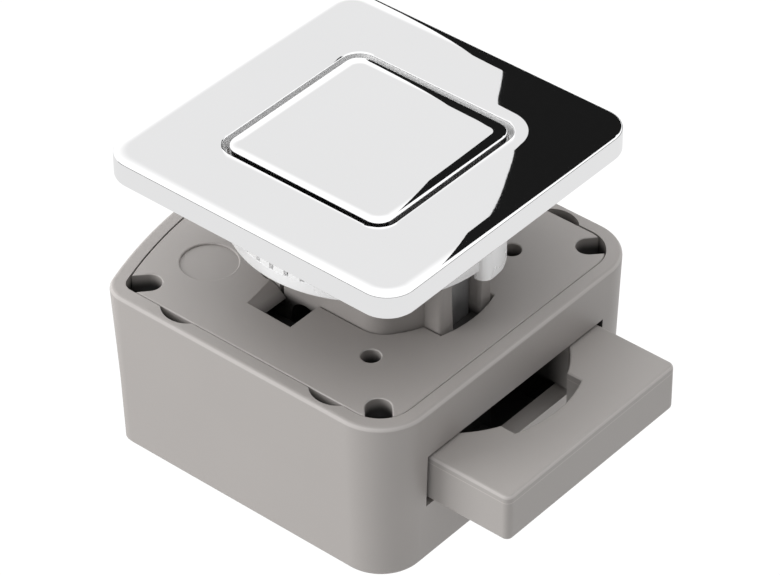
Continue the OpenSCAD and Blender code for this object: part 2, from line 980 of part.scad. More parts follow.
module button_cap() {
    color(chrome)
        difference() {
            translate([0, 0, cap_low])
                linear_extrude(button_h)
                    rounded_square(button_side, button_corner_r);
            translate([0, 0, cap_low - 1])
                linear_extrude(button_h + 1 - cap_top_t)
                    rounded_square(2 * cap_in, button_corner_r - button_wall);
        }
}

case_housing();
cover_plate();
cover_screws();
guide_tower();
plunger();
plunger_spring(1);  // plunger_spring_front
plunger_spring(-1);  // plunger_spring_rear
track_follower();
follower_leaf();
bolt();
drive_pin();
bolt_spring(1);  // bolt_spring_left
bolt_spring(-1);  // bolt_spring_right
spring_guide(1);  // spring_guide_left
spring_guide(-1);  // spring_guide_right
rosette_plate();
rosette_clip(1);  // rosette_clip_left
rosette_clip(-1);  // rosette_clip_right
clip_screws();
button_carrier();
carrier_screw();
button_cap();
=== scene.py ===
"""Looks of the push button cabinet lock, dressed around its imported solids."""

import sys

import json
import logging
import math
from dataclasses import dataclass, field, replace
from enum import Enum
from typing import Callable, Iterable, Sequence

import bmesh
import bpy
from mathutils import Matrix, Vector
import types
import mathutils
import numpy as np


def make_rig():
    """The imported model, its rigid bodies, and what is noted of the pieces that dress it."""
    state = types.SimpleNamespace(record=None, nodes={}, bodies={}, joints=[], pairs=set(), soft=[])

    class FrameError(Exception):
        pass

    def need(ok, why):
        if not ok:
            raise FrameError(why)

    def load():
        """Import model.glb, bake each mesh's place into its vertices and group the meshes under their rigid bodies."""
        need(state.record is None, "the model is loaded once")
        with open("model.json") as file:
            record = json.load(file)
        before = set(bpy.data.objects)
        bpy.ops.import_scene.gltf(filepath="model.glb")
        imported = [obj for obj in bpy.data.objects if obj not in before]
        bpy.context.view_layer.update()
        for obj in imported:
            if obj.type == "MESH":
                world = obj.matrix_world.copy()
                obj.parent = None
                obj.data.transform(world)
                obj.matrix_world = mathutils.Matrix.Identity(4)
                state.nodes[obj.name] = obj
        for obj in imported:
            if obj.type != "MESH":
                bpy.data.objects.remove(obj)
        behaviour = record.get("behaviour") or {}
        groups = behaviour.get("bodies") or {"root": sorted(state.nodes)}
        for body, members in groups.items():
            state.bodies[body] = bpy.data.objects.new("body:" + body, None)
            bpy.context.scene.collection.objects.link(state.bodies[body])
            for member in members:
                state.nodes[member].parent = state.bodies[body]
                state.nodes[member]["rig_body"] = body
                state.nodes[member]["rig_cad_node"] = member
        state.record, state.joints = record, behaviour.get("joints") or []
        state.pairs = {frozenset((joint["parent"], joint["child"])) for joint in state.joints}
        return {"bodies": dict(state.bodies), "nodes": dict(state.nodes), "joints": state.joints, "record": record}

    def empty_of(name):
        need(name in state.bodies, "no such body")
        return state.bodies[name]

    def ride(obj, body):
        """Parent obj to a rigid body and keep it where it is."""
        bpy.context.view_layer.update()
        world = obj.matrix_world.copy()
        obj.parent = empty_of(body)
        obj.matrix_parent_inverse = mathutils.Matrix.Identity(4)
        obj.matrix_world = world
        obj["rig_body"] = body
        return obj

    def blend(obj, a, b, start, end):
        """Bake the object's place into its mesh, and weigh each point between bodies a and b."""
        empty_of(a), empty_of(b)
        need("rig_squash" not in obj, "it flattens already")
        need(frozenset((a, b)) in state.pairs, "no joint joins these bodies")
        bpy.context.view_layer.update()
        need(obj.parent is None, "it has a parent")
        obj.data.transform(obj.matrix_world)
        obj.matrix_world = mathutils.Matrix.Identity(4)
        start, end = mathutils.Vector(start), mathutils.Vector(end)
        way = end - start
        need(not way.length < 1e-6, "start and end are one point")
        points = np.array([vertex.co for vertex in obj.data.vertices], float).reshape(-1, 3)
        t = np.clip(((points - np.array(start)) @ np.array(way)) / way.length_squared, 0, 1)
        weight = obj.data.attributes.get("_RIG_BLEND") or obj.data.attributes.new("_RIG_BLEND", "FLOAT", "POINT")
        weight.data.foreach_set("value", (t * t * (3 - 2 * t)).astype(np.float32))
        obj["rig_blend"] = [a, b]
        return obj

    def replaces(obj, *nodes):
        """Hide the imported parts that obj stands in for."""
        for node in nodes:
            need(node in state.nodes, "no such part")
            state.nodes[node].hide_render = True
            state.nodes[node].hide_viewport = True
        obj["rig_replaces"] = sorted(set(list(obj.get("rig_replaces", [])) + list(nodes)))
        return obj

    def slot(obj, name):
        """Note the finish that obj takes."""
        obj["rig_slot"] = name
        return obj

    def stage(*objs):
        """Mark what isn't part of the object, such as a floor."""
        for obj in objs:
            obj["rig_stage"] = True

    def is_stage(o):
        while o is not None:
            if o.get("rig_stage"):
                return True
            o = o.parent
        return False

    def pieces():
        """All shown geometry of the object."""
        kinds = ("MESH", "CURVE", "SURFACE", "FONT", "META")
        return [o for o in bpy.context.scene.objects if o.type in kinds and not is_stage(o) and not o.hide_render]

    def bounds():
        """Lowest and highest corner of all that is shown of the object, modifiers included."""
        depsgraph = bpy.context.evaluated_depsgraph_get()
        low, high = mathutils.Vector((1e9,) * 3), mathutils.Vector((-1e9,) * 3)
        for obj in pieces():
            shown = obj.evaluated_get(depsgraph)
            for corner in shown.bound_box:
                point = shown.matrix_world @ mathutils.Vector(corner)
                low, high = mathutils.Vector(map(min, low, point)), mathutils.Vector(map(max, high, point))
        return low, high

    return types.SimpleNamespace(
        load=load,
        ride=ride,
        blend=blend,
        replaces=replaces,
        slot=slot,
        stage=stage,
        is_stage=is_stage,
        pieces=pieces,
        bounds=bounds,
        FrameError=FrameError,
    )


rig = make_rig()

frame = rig.load()
CAD_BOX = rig.bounds()

LOG = logging.getLogger("lock")
MM = 0.001
# How near an edge lies to the place that a test asks for, in millimetres.
NEAR = 0.05
# The least z of a level face's normal, and the greatest of an upright face's.
LEVEL, UPRIGHT = 0.9, 0.1
Pair = tuple[float, float]
Triple = tuple[float, float, float]
EdgeTest = Callable[[Vector, Vector, Vector], bool]


class Body(Enum):
    """The rigid bodies that pieces ride on."""

    CASE = "case"
    BUTTON = "button"
    BOLT = "bolt"


class Slot(Enum):
    """The record's material slots."""

    PLASTIC = "case_plastic"
    CHROME = "bright_chrome"
    ZINC = "cast_zinc"
    SPRING = "spring_steel"
    PIN = "pin_steel"
    SCREW = "screw_steel"
    DARK = "dark_plastic"


# Node helpers


def add_node(
    tree: bpy.types.NodeTree,
    kind: str,
    values: dict[str | int, object] | None = None,
    **settings: object,
) -> bpy.types.Node:
    """Adds a node to a tree.

    Args:
        tree: The node tree.
        kind: The node's type.
        values: What its inputs get, by name or number: a value, or a socket to link.
        settings: Its own settings, such as its operation.

    Returns:
        The new node.
    """
    node = tree.nodes.new(kind)
    for label, setting in settings.items():
        setattr(node, label, setting)
    for key, value in (values or {}).items():
        if isinstance(value, bpy.types.NodeSocket):
            tree.links.new(value, node.inputs[key])
        else:
            node.inputs[key].default_value = value
    return node


def add_ends(tree: bpy.types.NodeTree) -> None:
    """Gives a group its Group Input and Group Output nodes."""
    tree.nodes.new("NodeGroupInput").name = "in"
    tree.nodes.new("NodeGroupOutput").name = "out"


# Shader groups


def float_group(
    name: str, inputs: dict[str, float], outputs: Sequence[str] = ("Mask",)
) -> bpy.types.ShaderNodeTree:
    """Makes an empty shader group with float inputs and float outputs.

    Args:
        name: The group's name.
        inputs: The inputs' default values by name.
        outputs: The outputs' names.

    Returns:
        The group, with its Group Input and Group Output nodes.
    """
    tree = bpy.data.node_groups.new(name, "ShaderNodeTree")
    for label, value in inputs.items():
        socket = tree.interface.new_socket(
            name=label, in_out="INPUT", socket_type="NodeSocketFloat"
        )
        socket.default_value = value
    for label in outputs:
        tree.interface.new_socket(name=label, in_out="OUTPUT", socket_type="NodeSocketFloat")
    add_ends(tree)
    return tree


def grain_group() -> bpy.types.ShaderNodeTree:
    """Makes the fine grain of moulded and cast surfaces.

    Returns:
        A group with a Height output for a bump and a Mottle output from 0 to 1.
    """
    tree = float_group(
        "fine grain", {"Grain Scale": 2600.0, "Mottle Scale": 90.0}, ["Height", "Mottle"]
    )
    place = add_node(tree, "ShaderNodeTexCoord").outputs["Object"]
    for label, scale, detail in (("Height", "Grain Scale", 3.0), ("Mottle", "Mottle Scale", 4.0)):
        given = tree.nodes["in"].outputs[scale]
        noise = add_node(
            tree, "ShaderNodeTexNoise", {"Vector": place, "Scale": given, "Detail": detail}
        )
        tree.links.new(noise.outputs["Fac"], tree.nodes["out"].inputs[label])
    return tree


def ramp_mask(
    tree: bpy.types.ShaderNodeTree, value: bpy.types.NodeSocket, **settings: object
) -> None:
    """Ends a group in the Mask that a value gives between Start and End."""
    given = tree.nodes["in"].outputs
    ramp = add_node(
        tree, "ShaderNodeMapRange",
        {"Value": value, "From Min": given["Start"], "From Max": given["End"]}, **settings,
    )
    tree.links.new(ramp.outputs["Result"], tree.nodes["out"].inputs["Mask"])


def wear_group() -> bpy.types.ShaderNodeTree:
    """Makes the mask of rubbed edges.

    Returns:
        A group with a Mask output that is 1 on sharp outer edges.
    """
    tree = float_group("rubbed edges", {"Start": 0.58, "End": 0.70})
    shape = add_node(tree, "ShaderNodeNewGeometry")
    ramp_mask(tree, shape.outputs["Pointiness"], clamp=True)
    return tree


def line_group() -> bpy.types.ShaderNodeTree:
    """Makes a thin mould line at one height.

    Returns:
        A group with a Mask output that is 1 on the line.
    """
    tree = float_group("mould line", {"Height": 0.0, "Width": 0.0001})
    given = tree.nodes["in"].outputs
    place = add_node(tree, "ShaderNodeTexCoord")
    split = add_node(tree, "ShaderNodeSeparateXYZ", {"Vector": place.outputs["Object"]})
    near = add_node(
        tree, "ShaderNodeMath",
        {0: split.outputs["Z"], 1: given["Height"], 2: given["Width"]}, operation="COMPARE",
    )
    tree.links.new(near.outputs["Value"], tree.nodes["out"].inputs["Mask"])
    return tree


def depth_shade_group() -> bpy.types.ShaderNodeTree:
    """Makes the mask of painted shade in recesses, from one place to another along an axis.

    Returns:
        A group with a Mask output that is 1 from End on.
    """
    tree = float_group("recess shade", {"Start": 0.0, "End": -0.003})
    tree.interface.new_socket(name="Axis", in_out="INPUT", socket_type="NodeSocketVector")
    place = add_node(tree, "ShaderNodeTexCoord")
    along = add_node(
        tree, "ShaderNodeVectorMath",
        {0: place.outputs["Object"], 1: tree.nodes["in"].outputs["Axis"]},
        operation="DOT_PRODUCT",
    )
    ramp_mask(tree, along.outputs["Value"], interpolation_type="SMOOTHSTEP")
    return tree


def painted_highlight_group() -> bpy.types.ShaderNodeTree:
    """Makes the mask of the painted highlight on rounded upper edges.

    Returns:
        A group with a Mask output that is 1 where a surface leans half way up.
    """
    rise, fall = 0.25, -0.2
    tree = float_group("painted edge highlight", {"Low": 0.15, "High": 0.93})
    place = add_node(tree, "ShaderNodeTexCoord")
    split = add_node(tree, "ShaderNodeSeparateXYZ", {"Vector": place.outputs["Normal"]})
    ramps = []
    for label, reach in (("Low", rise), ("High", fall)):
        given = tree.nodes["in"].outputs[label]
        end = add_node(tree, "ShaderNodeMath", {0: given, 1: reach}, operation="ADD")
        ramp = add_node(
            tree, "ShaderNodeMapRange",
            {"Value": split.outputs["Z"], "From Min": given, "From Max": end.outputs["Value"]},
            interpolation_type="SMOOTHSTEP",
        )
        ramps.append(ramp.outputs["Result"])
    both = add_node(tree, "ShaderNodeMath", dict(enumerate(ramps)), operation="MULTIPLY")
    tree.links.new(both.outputs["Value"], tree.nodes["out"].inputs["Mask"])
    return tree


@dataclass
class ShaderGroups:
    """The effects that several finishes share, built once."""

    grain: bpy.types.ShaderNodeTree = field(default_factory=grain_group)
    wear: bpy.types.ShaderNodeTree = field(default_factory=wear_group)
    line: bpy.types.ShaderNodeTree = field(default_factory=line_group)
    depth: bpy.types.ShaderNodeTree = field(default_factory=depth_shade_group)
    # brow: the mask of the painted highlight on plastics' rounded upper edges.
    brow: bpy.types.ShaderNodeTree = field(default_factory=painted_highlight_group)


# Finishes


@dataclass(frozen=True)
class Finish:
    """One surface finish.

    Colours are linear. The bump distance is in metres.
    """

    name: str
    slot: Slot
    color: Triple
    mottle_color: Triple
    # Edge colour: a painted highlight on plastics' rounded upper edges, rubbed wear on the sharp edges of the other
    # finishes.
    edge_wear_and_highlight: Triple
    metallic: float
    roughness: Pair
    bump: float
    bump_distance: float
    grain_scale: float
    mottle_scale: float
    mould_line: float | None = None
    # Painted shade: the colour darkens from the first to the second place along the axis, in metres.
    depth: Pair | None = None
    depth_shade_axis: Triple = (0.0, 0.0, 1.0)
    line_width: float = 0.00008
    line_gain: float = 1.3
    depth_shade_gain: float = 0.09

    def build(self, groups: ShaderGroups) -> bpy.types.Material:
        """Builds the material.

        Args:
            groups: The shared shader groups.

        Returns:
            The new material.
        """
        made = bpy.data.materials.new(self.name)
        made.use_nodes = True
        made.diffuse_color = (*self.color, 1.0)
        tree = made.node_tree
        shader = tree.nodes["Principled BSDF"]
        shader.inputs["Metallic"].default_value = self.metallic

        grain = add_node(
            tree, "ShaderNodeGroup",
            {"Grain Scale": self.grain_scale, "Mottle Scale": self.mottle_scale},
            node_tree=groups.grain,
        ).outputs
        # Plastics take a painted highlight on their rounded upper edges; the other finishes take rubbed wear on sharp
        # edges.
        edges = groups.brow if self.slot is Slot.PLASTIC else groups.wear
        layers = [(self.mottle_color, grain["Mottle"])]
        layers.append(
            (self.edge_wear_and_highlight, add_node(tree, "ShaderNodeGroup", node_tree=edges).outputs["Mask"])
        )
        if self.mould_line is not None:
            line = add_node(
                tree, "ShaderNodeGroup",
                {"Height": self.mould_line, "Width": self.line_width}, node_tree=groups.line,
            )
            pale = tuple(c * self.line_gain for c in self.color)
            layers.append((pale, line.outputs["Mask"]))
        # Painted shade, darker the deeper a point lies along the axis.
        if self.depth is not None:
            start, end = self.depth
            shade = add_node(
                tree, "ShaderNodeGroup",
                {"Start": start, "End": end, "Axis": self.depth_shade_axis}, node_tree=groups.depth,
            )
            dark = tuple(c * self.depth_shade_gain for c in self.color)
            layers.append((dark, shade.outputs["Mask"]))
        mixed: object = (*self.color, 1.0)
        for color, mask in layers:
            mixed = add_node(
                tree, "ShaderNodeMix", {0: mask, 6: mixed, 7: (*color, 1.0)}, data_type="RGBA"
            ).outputs[2]
        rough = add_node(
            tree, "ShaderNodeMapRange",
            {"Value": grain["Mottle"], "To Min": self.roughness[0], "To Max": self.roughness[1]},
        )
        bump = add_node(
            tree, "ShaderNodeBump",
            {"Strength": self.bump, "Distance": self.bump_distance, "Height": grain["Height"]},
        )
        tree.links.new(mixed, shader.inputs["Base Color"])
        tree.links.new(rough.outputs["Result"], shader.inputs["Roughness"])
        tree.links.new(bump.outputs["Normal"], shader.inputs["Normal"])
        return made


# The third colour of MOULDED and MOULDED_BOLT is the painted highlight of their rounded upper edges.
MOULDED = Finish(
    "moulded_greige", Slot.PLASTIC,
    (0.352, 0.330, 0.316), (0.376, 0.353, 0.338), (0.48, 0.455, 0.44),
    0.0, (0.40, 0.50), 0.25, 0.00004, 2600.0, 60.0,
)
# Painted shade: darker below the cover's top, from 0.3 mm to 2.4 mm down.
MOULDED_DEPTH_SHADE = replace(MOULDED, name="moulded_greige_depth_shade", depth=(-0.0003, -0.0024))
# Its last two values paint shade on the bolt, darker towards -X from 28.8 mm to 23.5 mm, where it runs into the
# housing.
MOULDED_BOLT = Finish(
    "moulded_greige_bolt", Slot.PLASTIC,
    (0.360, 0.339, 0.324), (0.380, 0.358, 0.343), (0.49, 0.465, 0.45),
    0.0, (0.36, 0.46), 0.22, 0.00004, 2600.0, 60.0, -0.01032,
    (0.0288, 0.0235), (1.0, 0.0, 0.0),
)
CHROME = Finish(
    "bright_chrome_plate", Slot.CHROME,
    (0.90, 0.90, 0.905), (0.92, 0.92, 0.925), (0.95, 0.95, 0.95),
    1.0, (0.008, 0.014), 0.006, 0.00002, 900.0, 40.0,
)
SATIN = Finish(
    "satin_nickel_collar", Slot.CHROME,
    (0.90, 0.90, 0.905), (0.93, 0.93, 0.93), (0.96, 0.96, 0.96),
    0.35, (0.24, 0.32), 0.06, 0.00003, 1600.0, 120.0,
)
# Painted shade: a near-black finish for the band that shows between the serrations.
SHADE = Finish(
    "collar_groove", Slot.CHROME,
    (0.10, 0.10, 0.105), (0.14, 0.14, 0.14), (0.30, 0.30, 0.30),
    0.6, (0.40, 0.50), 0.06, 0.00003, 1600.0, 120.0,
)
# Painted shade: a near-black finish for the walls of the plate's opening on its near sides.
OPENING_SHADE = replace(
    SHADE, name="opening_wall", color=(0.02, 0.02, 0.02), mottle_color=(0.03, 0.03, 0.03)
)
# Painted highlight: a white, unmetallic copy of the satin for the far walls of the plate's opening.
OPENING_HIGHLIGHT = replace(
    SATIN, name="opening_painted_highlight", color=(0.95, 0.95, 0.95), metallic=0.0
)
ZINC = Finish(
    "cast_zinc_dull", Slot.ZINC,
    (0.26, 0.26, 0.265), (0.40, 0.40, 0.40), (0.55, 0.55, 0.55),
    0.85, (0.38, 0.60), 0.5, 0.00010, 1400.0, 420.0,
)
SPRING = Finish(
    "drawn_spring_steel", Slot.SPRING,
    (0.50, 0.51, 0.53), (0.58, 0.59, 0.60), (0.66, 0.66, 0.67),
    1.0, (0.22, 0.34), 0.1, 0.00002, 3000.0, 300.0,
)
PIN = Finish(
    "ground_pin_steel", Slot.PIN,
    (0.56, 0.56, 0.57), (0.62, 0.62, 0.63), (0.70, 0.70, 0.70),
    1.0, (0.18, 0.28), 0.1, 0.00002, 3400.0, 300.0,
)
SCREW = Finish(
    "zinc_plated_screw", Slot.SCREW,
    (0.38, 0.39, 0.41), (0.48, 0.48, 0.49), (0.62, 0.62, 0.62),
    1.0, (0.28, 0.42), 0.15, 0.00003, 2600.0, 500.0,
)
DARK = Finish(
    "dark_moulding", Slot.DARK,
    (0.020, 0.020, 0.022), (0.032, 0.032, 0.034), (0.07, 0.07, 0.07),
    0.0, (0.45, 0.60), 0.25, 0.00004, 2400.0, 90.0,
)


@dataclass
class Palette:
    """Every finish as a material, built once."""

    groups: ShaderGroups = field(default_factory=ShaderGroups)
    made: dict[str, bpy.types.Material] = field(default_factory=dict)

    def material(self, finish: Finish) -> bpy.types.Material:
        """Returns the finish's material, built at its first use."""
        if finish.name not in self.made:
            self.made[finish.name] = finish.build(self.groups)
        return self.made[finish.name]


# Mesh helpers


def new_object(name: str, mesh: bpy.types.Mesh) -> bpy.types.Object:
    """Links a new object for a mesh and returns it."""
    made = bpy.data.objects.new(name, mesh)
    bpy.context.scene.collection.objects.link(made)
    return made


def finished(work: bmesh.types.BMesh, name: str) -> bpy.types.Mesh:
    """Turns a working mesh into a mesh, and frees it."""
    mesh = bpy.data.meshes.new(name)
    work.to_mesh(mesh)
    work.free()
    return mesh


def baked(source: bpy.types.Object, name: str) -> bpy.types.Object:
    """Turns an object with modifiers into a plain mesh object.

    Args:
        source: The object, which is removed.
        name: The plain object's name.

    Returns:
        The plain object, at the origin.
    """
    bpy.context.view_layer.update()
    evaluated = source.evaluated_get(bpy.context.evaluated_depsgraph_get())
    mesh = bpy.data.meshes.new_from_object(evaluated)
    mesh.name = name
    bpy.data.objects.remove(source)
    return new_object(name, mesh)


def smooth_by_angle(mesh: bpy.types.Mesh, degrees: float = 32.0) -> None:
    """Shades a mesh smooth, with its edges sharp above an angle."""
    work = bmesh.new()
    work.from_mesh(mesh)
    limit = math.radians(degrees)
    for face in work.faces:
        face.smooth = True
    for edge in work.edges:
        wide = len(edge.link_faces) != 2 or edge.calc_face_angle(0.0) > limit
        edge.smooth = not wide
    work.to_mesh(mesh)
    work.free()


def shaded(
    mesh: bpy.types.Mesh, name: str, degrees: float = 32.0, weight: int = 80
) -> bpy.types.Object:
    """Makes a piece that is smooth up to an angle, its large flat faces with true normals.

    Args:
        mesh: The piece's mesh.
        name: The piece's name.
        degrees: The least angle of a sharp edge.
        weight: How far the large faces outweigh the small ones, 50 for not at all.

    Returns:
        The piece, with weighted normals.
    """
    smooth_by_angle(mesh, degrees)
    raw = new_object(name + "_raw", mesh)
    weigh = raw.modifiers.new("weigh", "WEIGHTED_NORMAL")
    weigh.keep_sharp = True
    weigh.mode = "FACE_AREA"
    weigh.weight = weight
    return baked(raw, name)


def dress(
    piece: bpy.types.Object,
    finish: Finish,
    palette: Palette,
    body: Body | None,
    nodes: Iterable[str] = (),
    *marked: Finish,
) -> bpy.types.Object:
    """Gives a piece its finish and its body, and says which solids it stands for.

    Args:
        piece: The piece.
        finish: Its finish.
        palette: The built finishes.
        body: The body that it rides on, or None for a piece that bends between two.
        nodes: The solids that it replaces.
        marked: The finishes of the faces that are marked 1, 2 and so on.

    Returns:
        The same piece.
    """
    marks = [face.material_index for face in piece.data.polygons]
    piece.data.materials.clear()
    piece.data.materials.append(palette.material(finish))
    for other in marked:
        piece.data.materials.append(palette.material(other))
    if marked:
        piece.data.polygons.foreach_set("material_index", marks)
    if body is not None:
        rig.ride(piece, body.value)
    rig.slot(piece, finish.slot.value)
    for node in nodes:
        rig.replaces(piece, node)
    LOG.info("%s: %d faces", piece.name, len(piece.data.polygons))
    return piece


@dataclass
class SolidCopy:
    """A copy of a solid, merged, whose edges can be rounded one set at a time."""

    node: str
    weld: float = 2e-6
    flat: float = 0.4
    cut: float = 1e-7
    work: bmesh.types.BMesh = field(init=False)

    def __post_init__(self) -> None:
        """Copies the solid's mesh, welds it and merges its flat faces."""
        self.work = bmesh.new()
        self.work.from_mesh(frame["nodes"][self.node].data)
        bmesh.ops.remove_doubles(self.work, verts=self.work.verts, dist=self.weld)
        bmesh.ops.dissolve_limit(
            self.work,
            angle_limit=math.radians(self.flat),
            verts=self.work.verts,
            edges=self.work.edges,
        )

    def rounded(
        self, width: float, segments: int, test: EdgeTest, angle: float = 30.0
    ) -> "SolidCopy":
        """Rounds the sharp edges that a test picks.

        Args:
            width: The rounding's width in millimetres.
            segments: Its number of strips.
            test: Takes an edge's middle in millimetres and its two face normals.
            angle: The least angle of a sharp edge, in degrees.

        Returns:
            This copy, for the next call.
        """
        picked = []
        for edge in self.work.edges:
            if len(edge.link_faces) != 2:
                continue
            if edge.calc_face_angle(0.0) < math.radians(angle):
                continue
            middle = (edge.verts[0].co + edge.verts[1].co) * (0.5 / MM)
            first, second = (f.normal for f in edge.link_faces)
            if test(middle, first, second):
                picked.append(edge)
        if picked:
            bmesh.ops.bevel(
                self.work,
                geom=picked,
                offset=width * MM,
                offset_type="OFFSET",
                segments=segments,
                profile=0.5,
                affect="EDGES",
                clamp_overlap=False,
            )
        LOG.info("%s: %d edges rounded by %.2f mm", self.node, len(picked), width)
        return self

    def split(self, z: float) -> "SolidCopy":
        """Cuts the faces at one height, in millimetres, so that their openings stay apart."""
        work = self.work
        bmesh.ops.bisect_plane(
            work, geom=list(work.verts) + list(work.edges) + list(work.faces),
            dist=self.cut, plane_co=(0, 0, z * MM), plane_no=(0, 0, 1),
        )
        return self

    def placed(self, name: str, degrees: float = 32.0) -> bpy.types.Object:
        """Makes the object and frees the working mesh."""
        return shaded(finished(self.work, name), name, degrees)


def level(z: float) -> EdgeTest:
    """Returns a test for edges at one height, in millimetres."""
    return lambda middle, first, second: abs(middle.z - z) < NEAR


def outer_level(z: float) -> EdgeTest:
    """Returns a test for edges at one height whose side wall faces away from the axis."""

    def test(middle: Vector, first: Vector, second: Vector) -> bool:
        """Tells whether the edge is at the height, on an outer wall."""
        side = first if abs(first.z) < abs(second.z) else second
        outward = side.x * middle.x + side.y * middle.y > 0
        return abs(middle.z - z) < NEAR and outward

    return test


def upright(first: Vector, second: Vector) -> bool:
    """Tells whether both faces beside an edge are upright."""
    return abs(first.z) < UPRIGHT and abs(second.z) < UPRIGHT


def square_ring(half: float, radius: float, steps: int = 14) -> list[Pair]:
    """Returns the points of a rounded square, anticlockwise, in millimetres.

    Args:
        half: Half the square's side.
        radius: The corners' radius.
        steps: The number of strips in each corner.

    Returns:
        The points, the same number for any size.
    """
    points = []
    for corner in range(4):
        turn = corner * 90.0
        sx = 1 if corner in (0, 3) else -1
        sy = 1 if corner in (0, 1) else -1
        for i in range(steps + 1):
            a = math.radians(turn + 90.0 * i / steps)
            points.append((
                sx * (half - radius) + radius * math.cos(a),
                sy * (half - radius) + radius * math.sin(a),
            ))
    return points


def circle_ring(radius: float, steps: int = 144) -> list[Pair]:
    """Returns the points of a circle, anticlockwise, in millimetres."""
    turn = 2 * math.pi / steps
    return [(radius * math.cos(turn * i), radius * math.sin(turn * i)) for i in range(steps)]


def skin(
    work: bmesh.types.BMesh, rows: Sequence[list[bmesh.types.BMVert]], closed: bool = False
) -> None:
    """Joins a row of rings with faces.

    Args:
        work: The working mesh.
        rows: The rings' points, the same number in each.
        closed: Whether the last ring joins the first. If not, both ends are capped.
    """
    pairs = list(zip(rows, rows[1:])) + ([(rows[-1], rows[0])] if closed else [])
    for low, high in pairs:
        for i in range(len(low)):
            j = (i + 1) % len(low)
            work.faces.new((low[i], low[j], high[j], high[i]))
    if not closed:
        work.faces.new(rows[0][::-1])
        work.faces.new(rows[-1])


def skinned(
    name: str,
    rings: Sequence[tuple[Sequence[Pair], float]],
    closed: bool = False,
) -> bpy.types.Mesh:
    """Skins a row of level rings.

    Args:
        name: The mesh's name.
        rings: Pairs of a ring's points and its height, in millimetres.
        closed: Whether the last ring joins the first. If not, both ends are capped.

    Returns:
        The new mesh, with its faces outwards.
    """
    work = bmesh.new()
    skin(work, [
        [work.verts.new((x * MM, y * MM, z * MM)) for x, y in points] for points, z in rings
    ], closed)
    bmesh.ops.recalc_face_normals(work, faces=work.faces)
    return finished(work, name)


def loft(
    name: str, rings: Sequence[tuple[Sequence[Pair], float]], closed: bool = False
) -> bpy.types.Object:
    """Skins a row of level rings as a piece whose roundings are shaded smooth."""
    return shaded(skinned(name, rings, closed), name, 24.0)


def turned(name: str, profile: Sequence[Pair]) -> bpy.types.Object:
    """Builds a ring from a closed profile of radii and heights, in millimetres."""
    return loft(name, [(circle_ring(radius), z) for radius, z in profile], closed=True)


def smooth_line(points: Sequence[Pair], steps: int) -> list[Pair]:
    """Returns a smooth line through points, with some steps between each two."""
    ends = [points[0], *points, points[-1]]
    line = [points[0]]
    for a, b, c, d in zip(ends, ends[1:], ends[2:], ends[3:]):
        for i in range(1, steps + 1):
            t = i / steps
            line.append(tuple(
                0.5 * (2 * q + (r - p) * t + (2 * p - 5 * q + 4 * r - s) * t * t
                       + (3 * q - p - 3 * r + s) * t**3)
                for p, q, r, s in zip(a, b, c, d)
            ))
    return line


def soft_profile(
    edge: float, width: float, drop: float, steps: int = 6
) -> list[Pair]:
    """Returns the insets and drops of a soft shoulder that ends in a tight rounding.

    Args:
        edge: The tight rounding's radius.
        width: The shoulder's width, inside the rounding.
        drop: How far the shoulder falls before the rounding starts.
        steps: The number of strips in the shoulder.

    Returns:
        Pairs of an inset and a drop, from the side wall to the flat top.
    """
    tilt = math.atan(2 * drop / width)
    arc = [
        (edge - edge * math.cos(a), drop + edge - edge * math.sin(a))
        for a in ((math.pi / 2 - tilt) * i / 7 for i in range(8))
    ]
    start = arc[-1][0]
    roll = [
        (start + width * i / steps, drop * (1 - i / steps) ** 2) for i in range(1, steps + 1)
    ]
    return arc + roll


# Geometry Nodes helpers


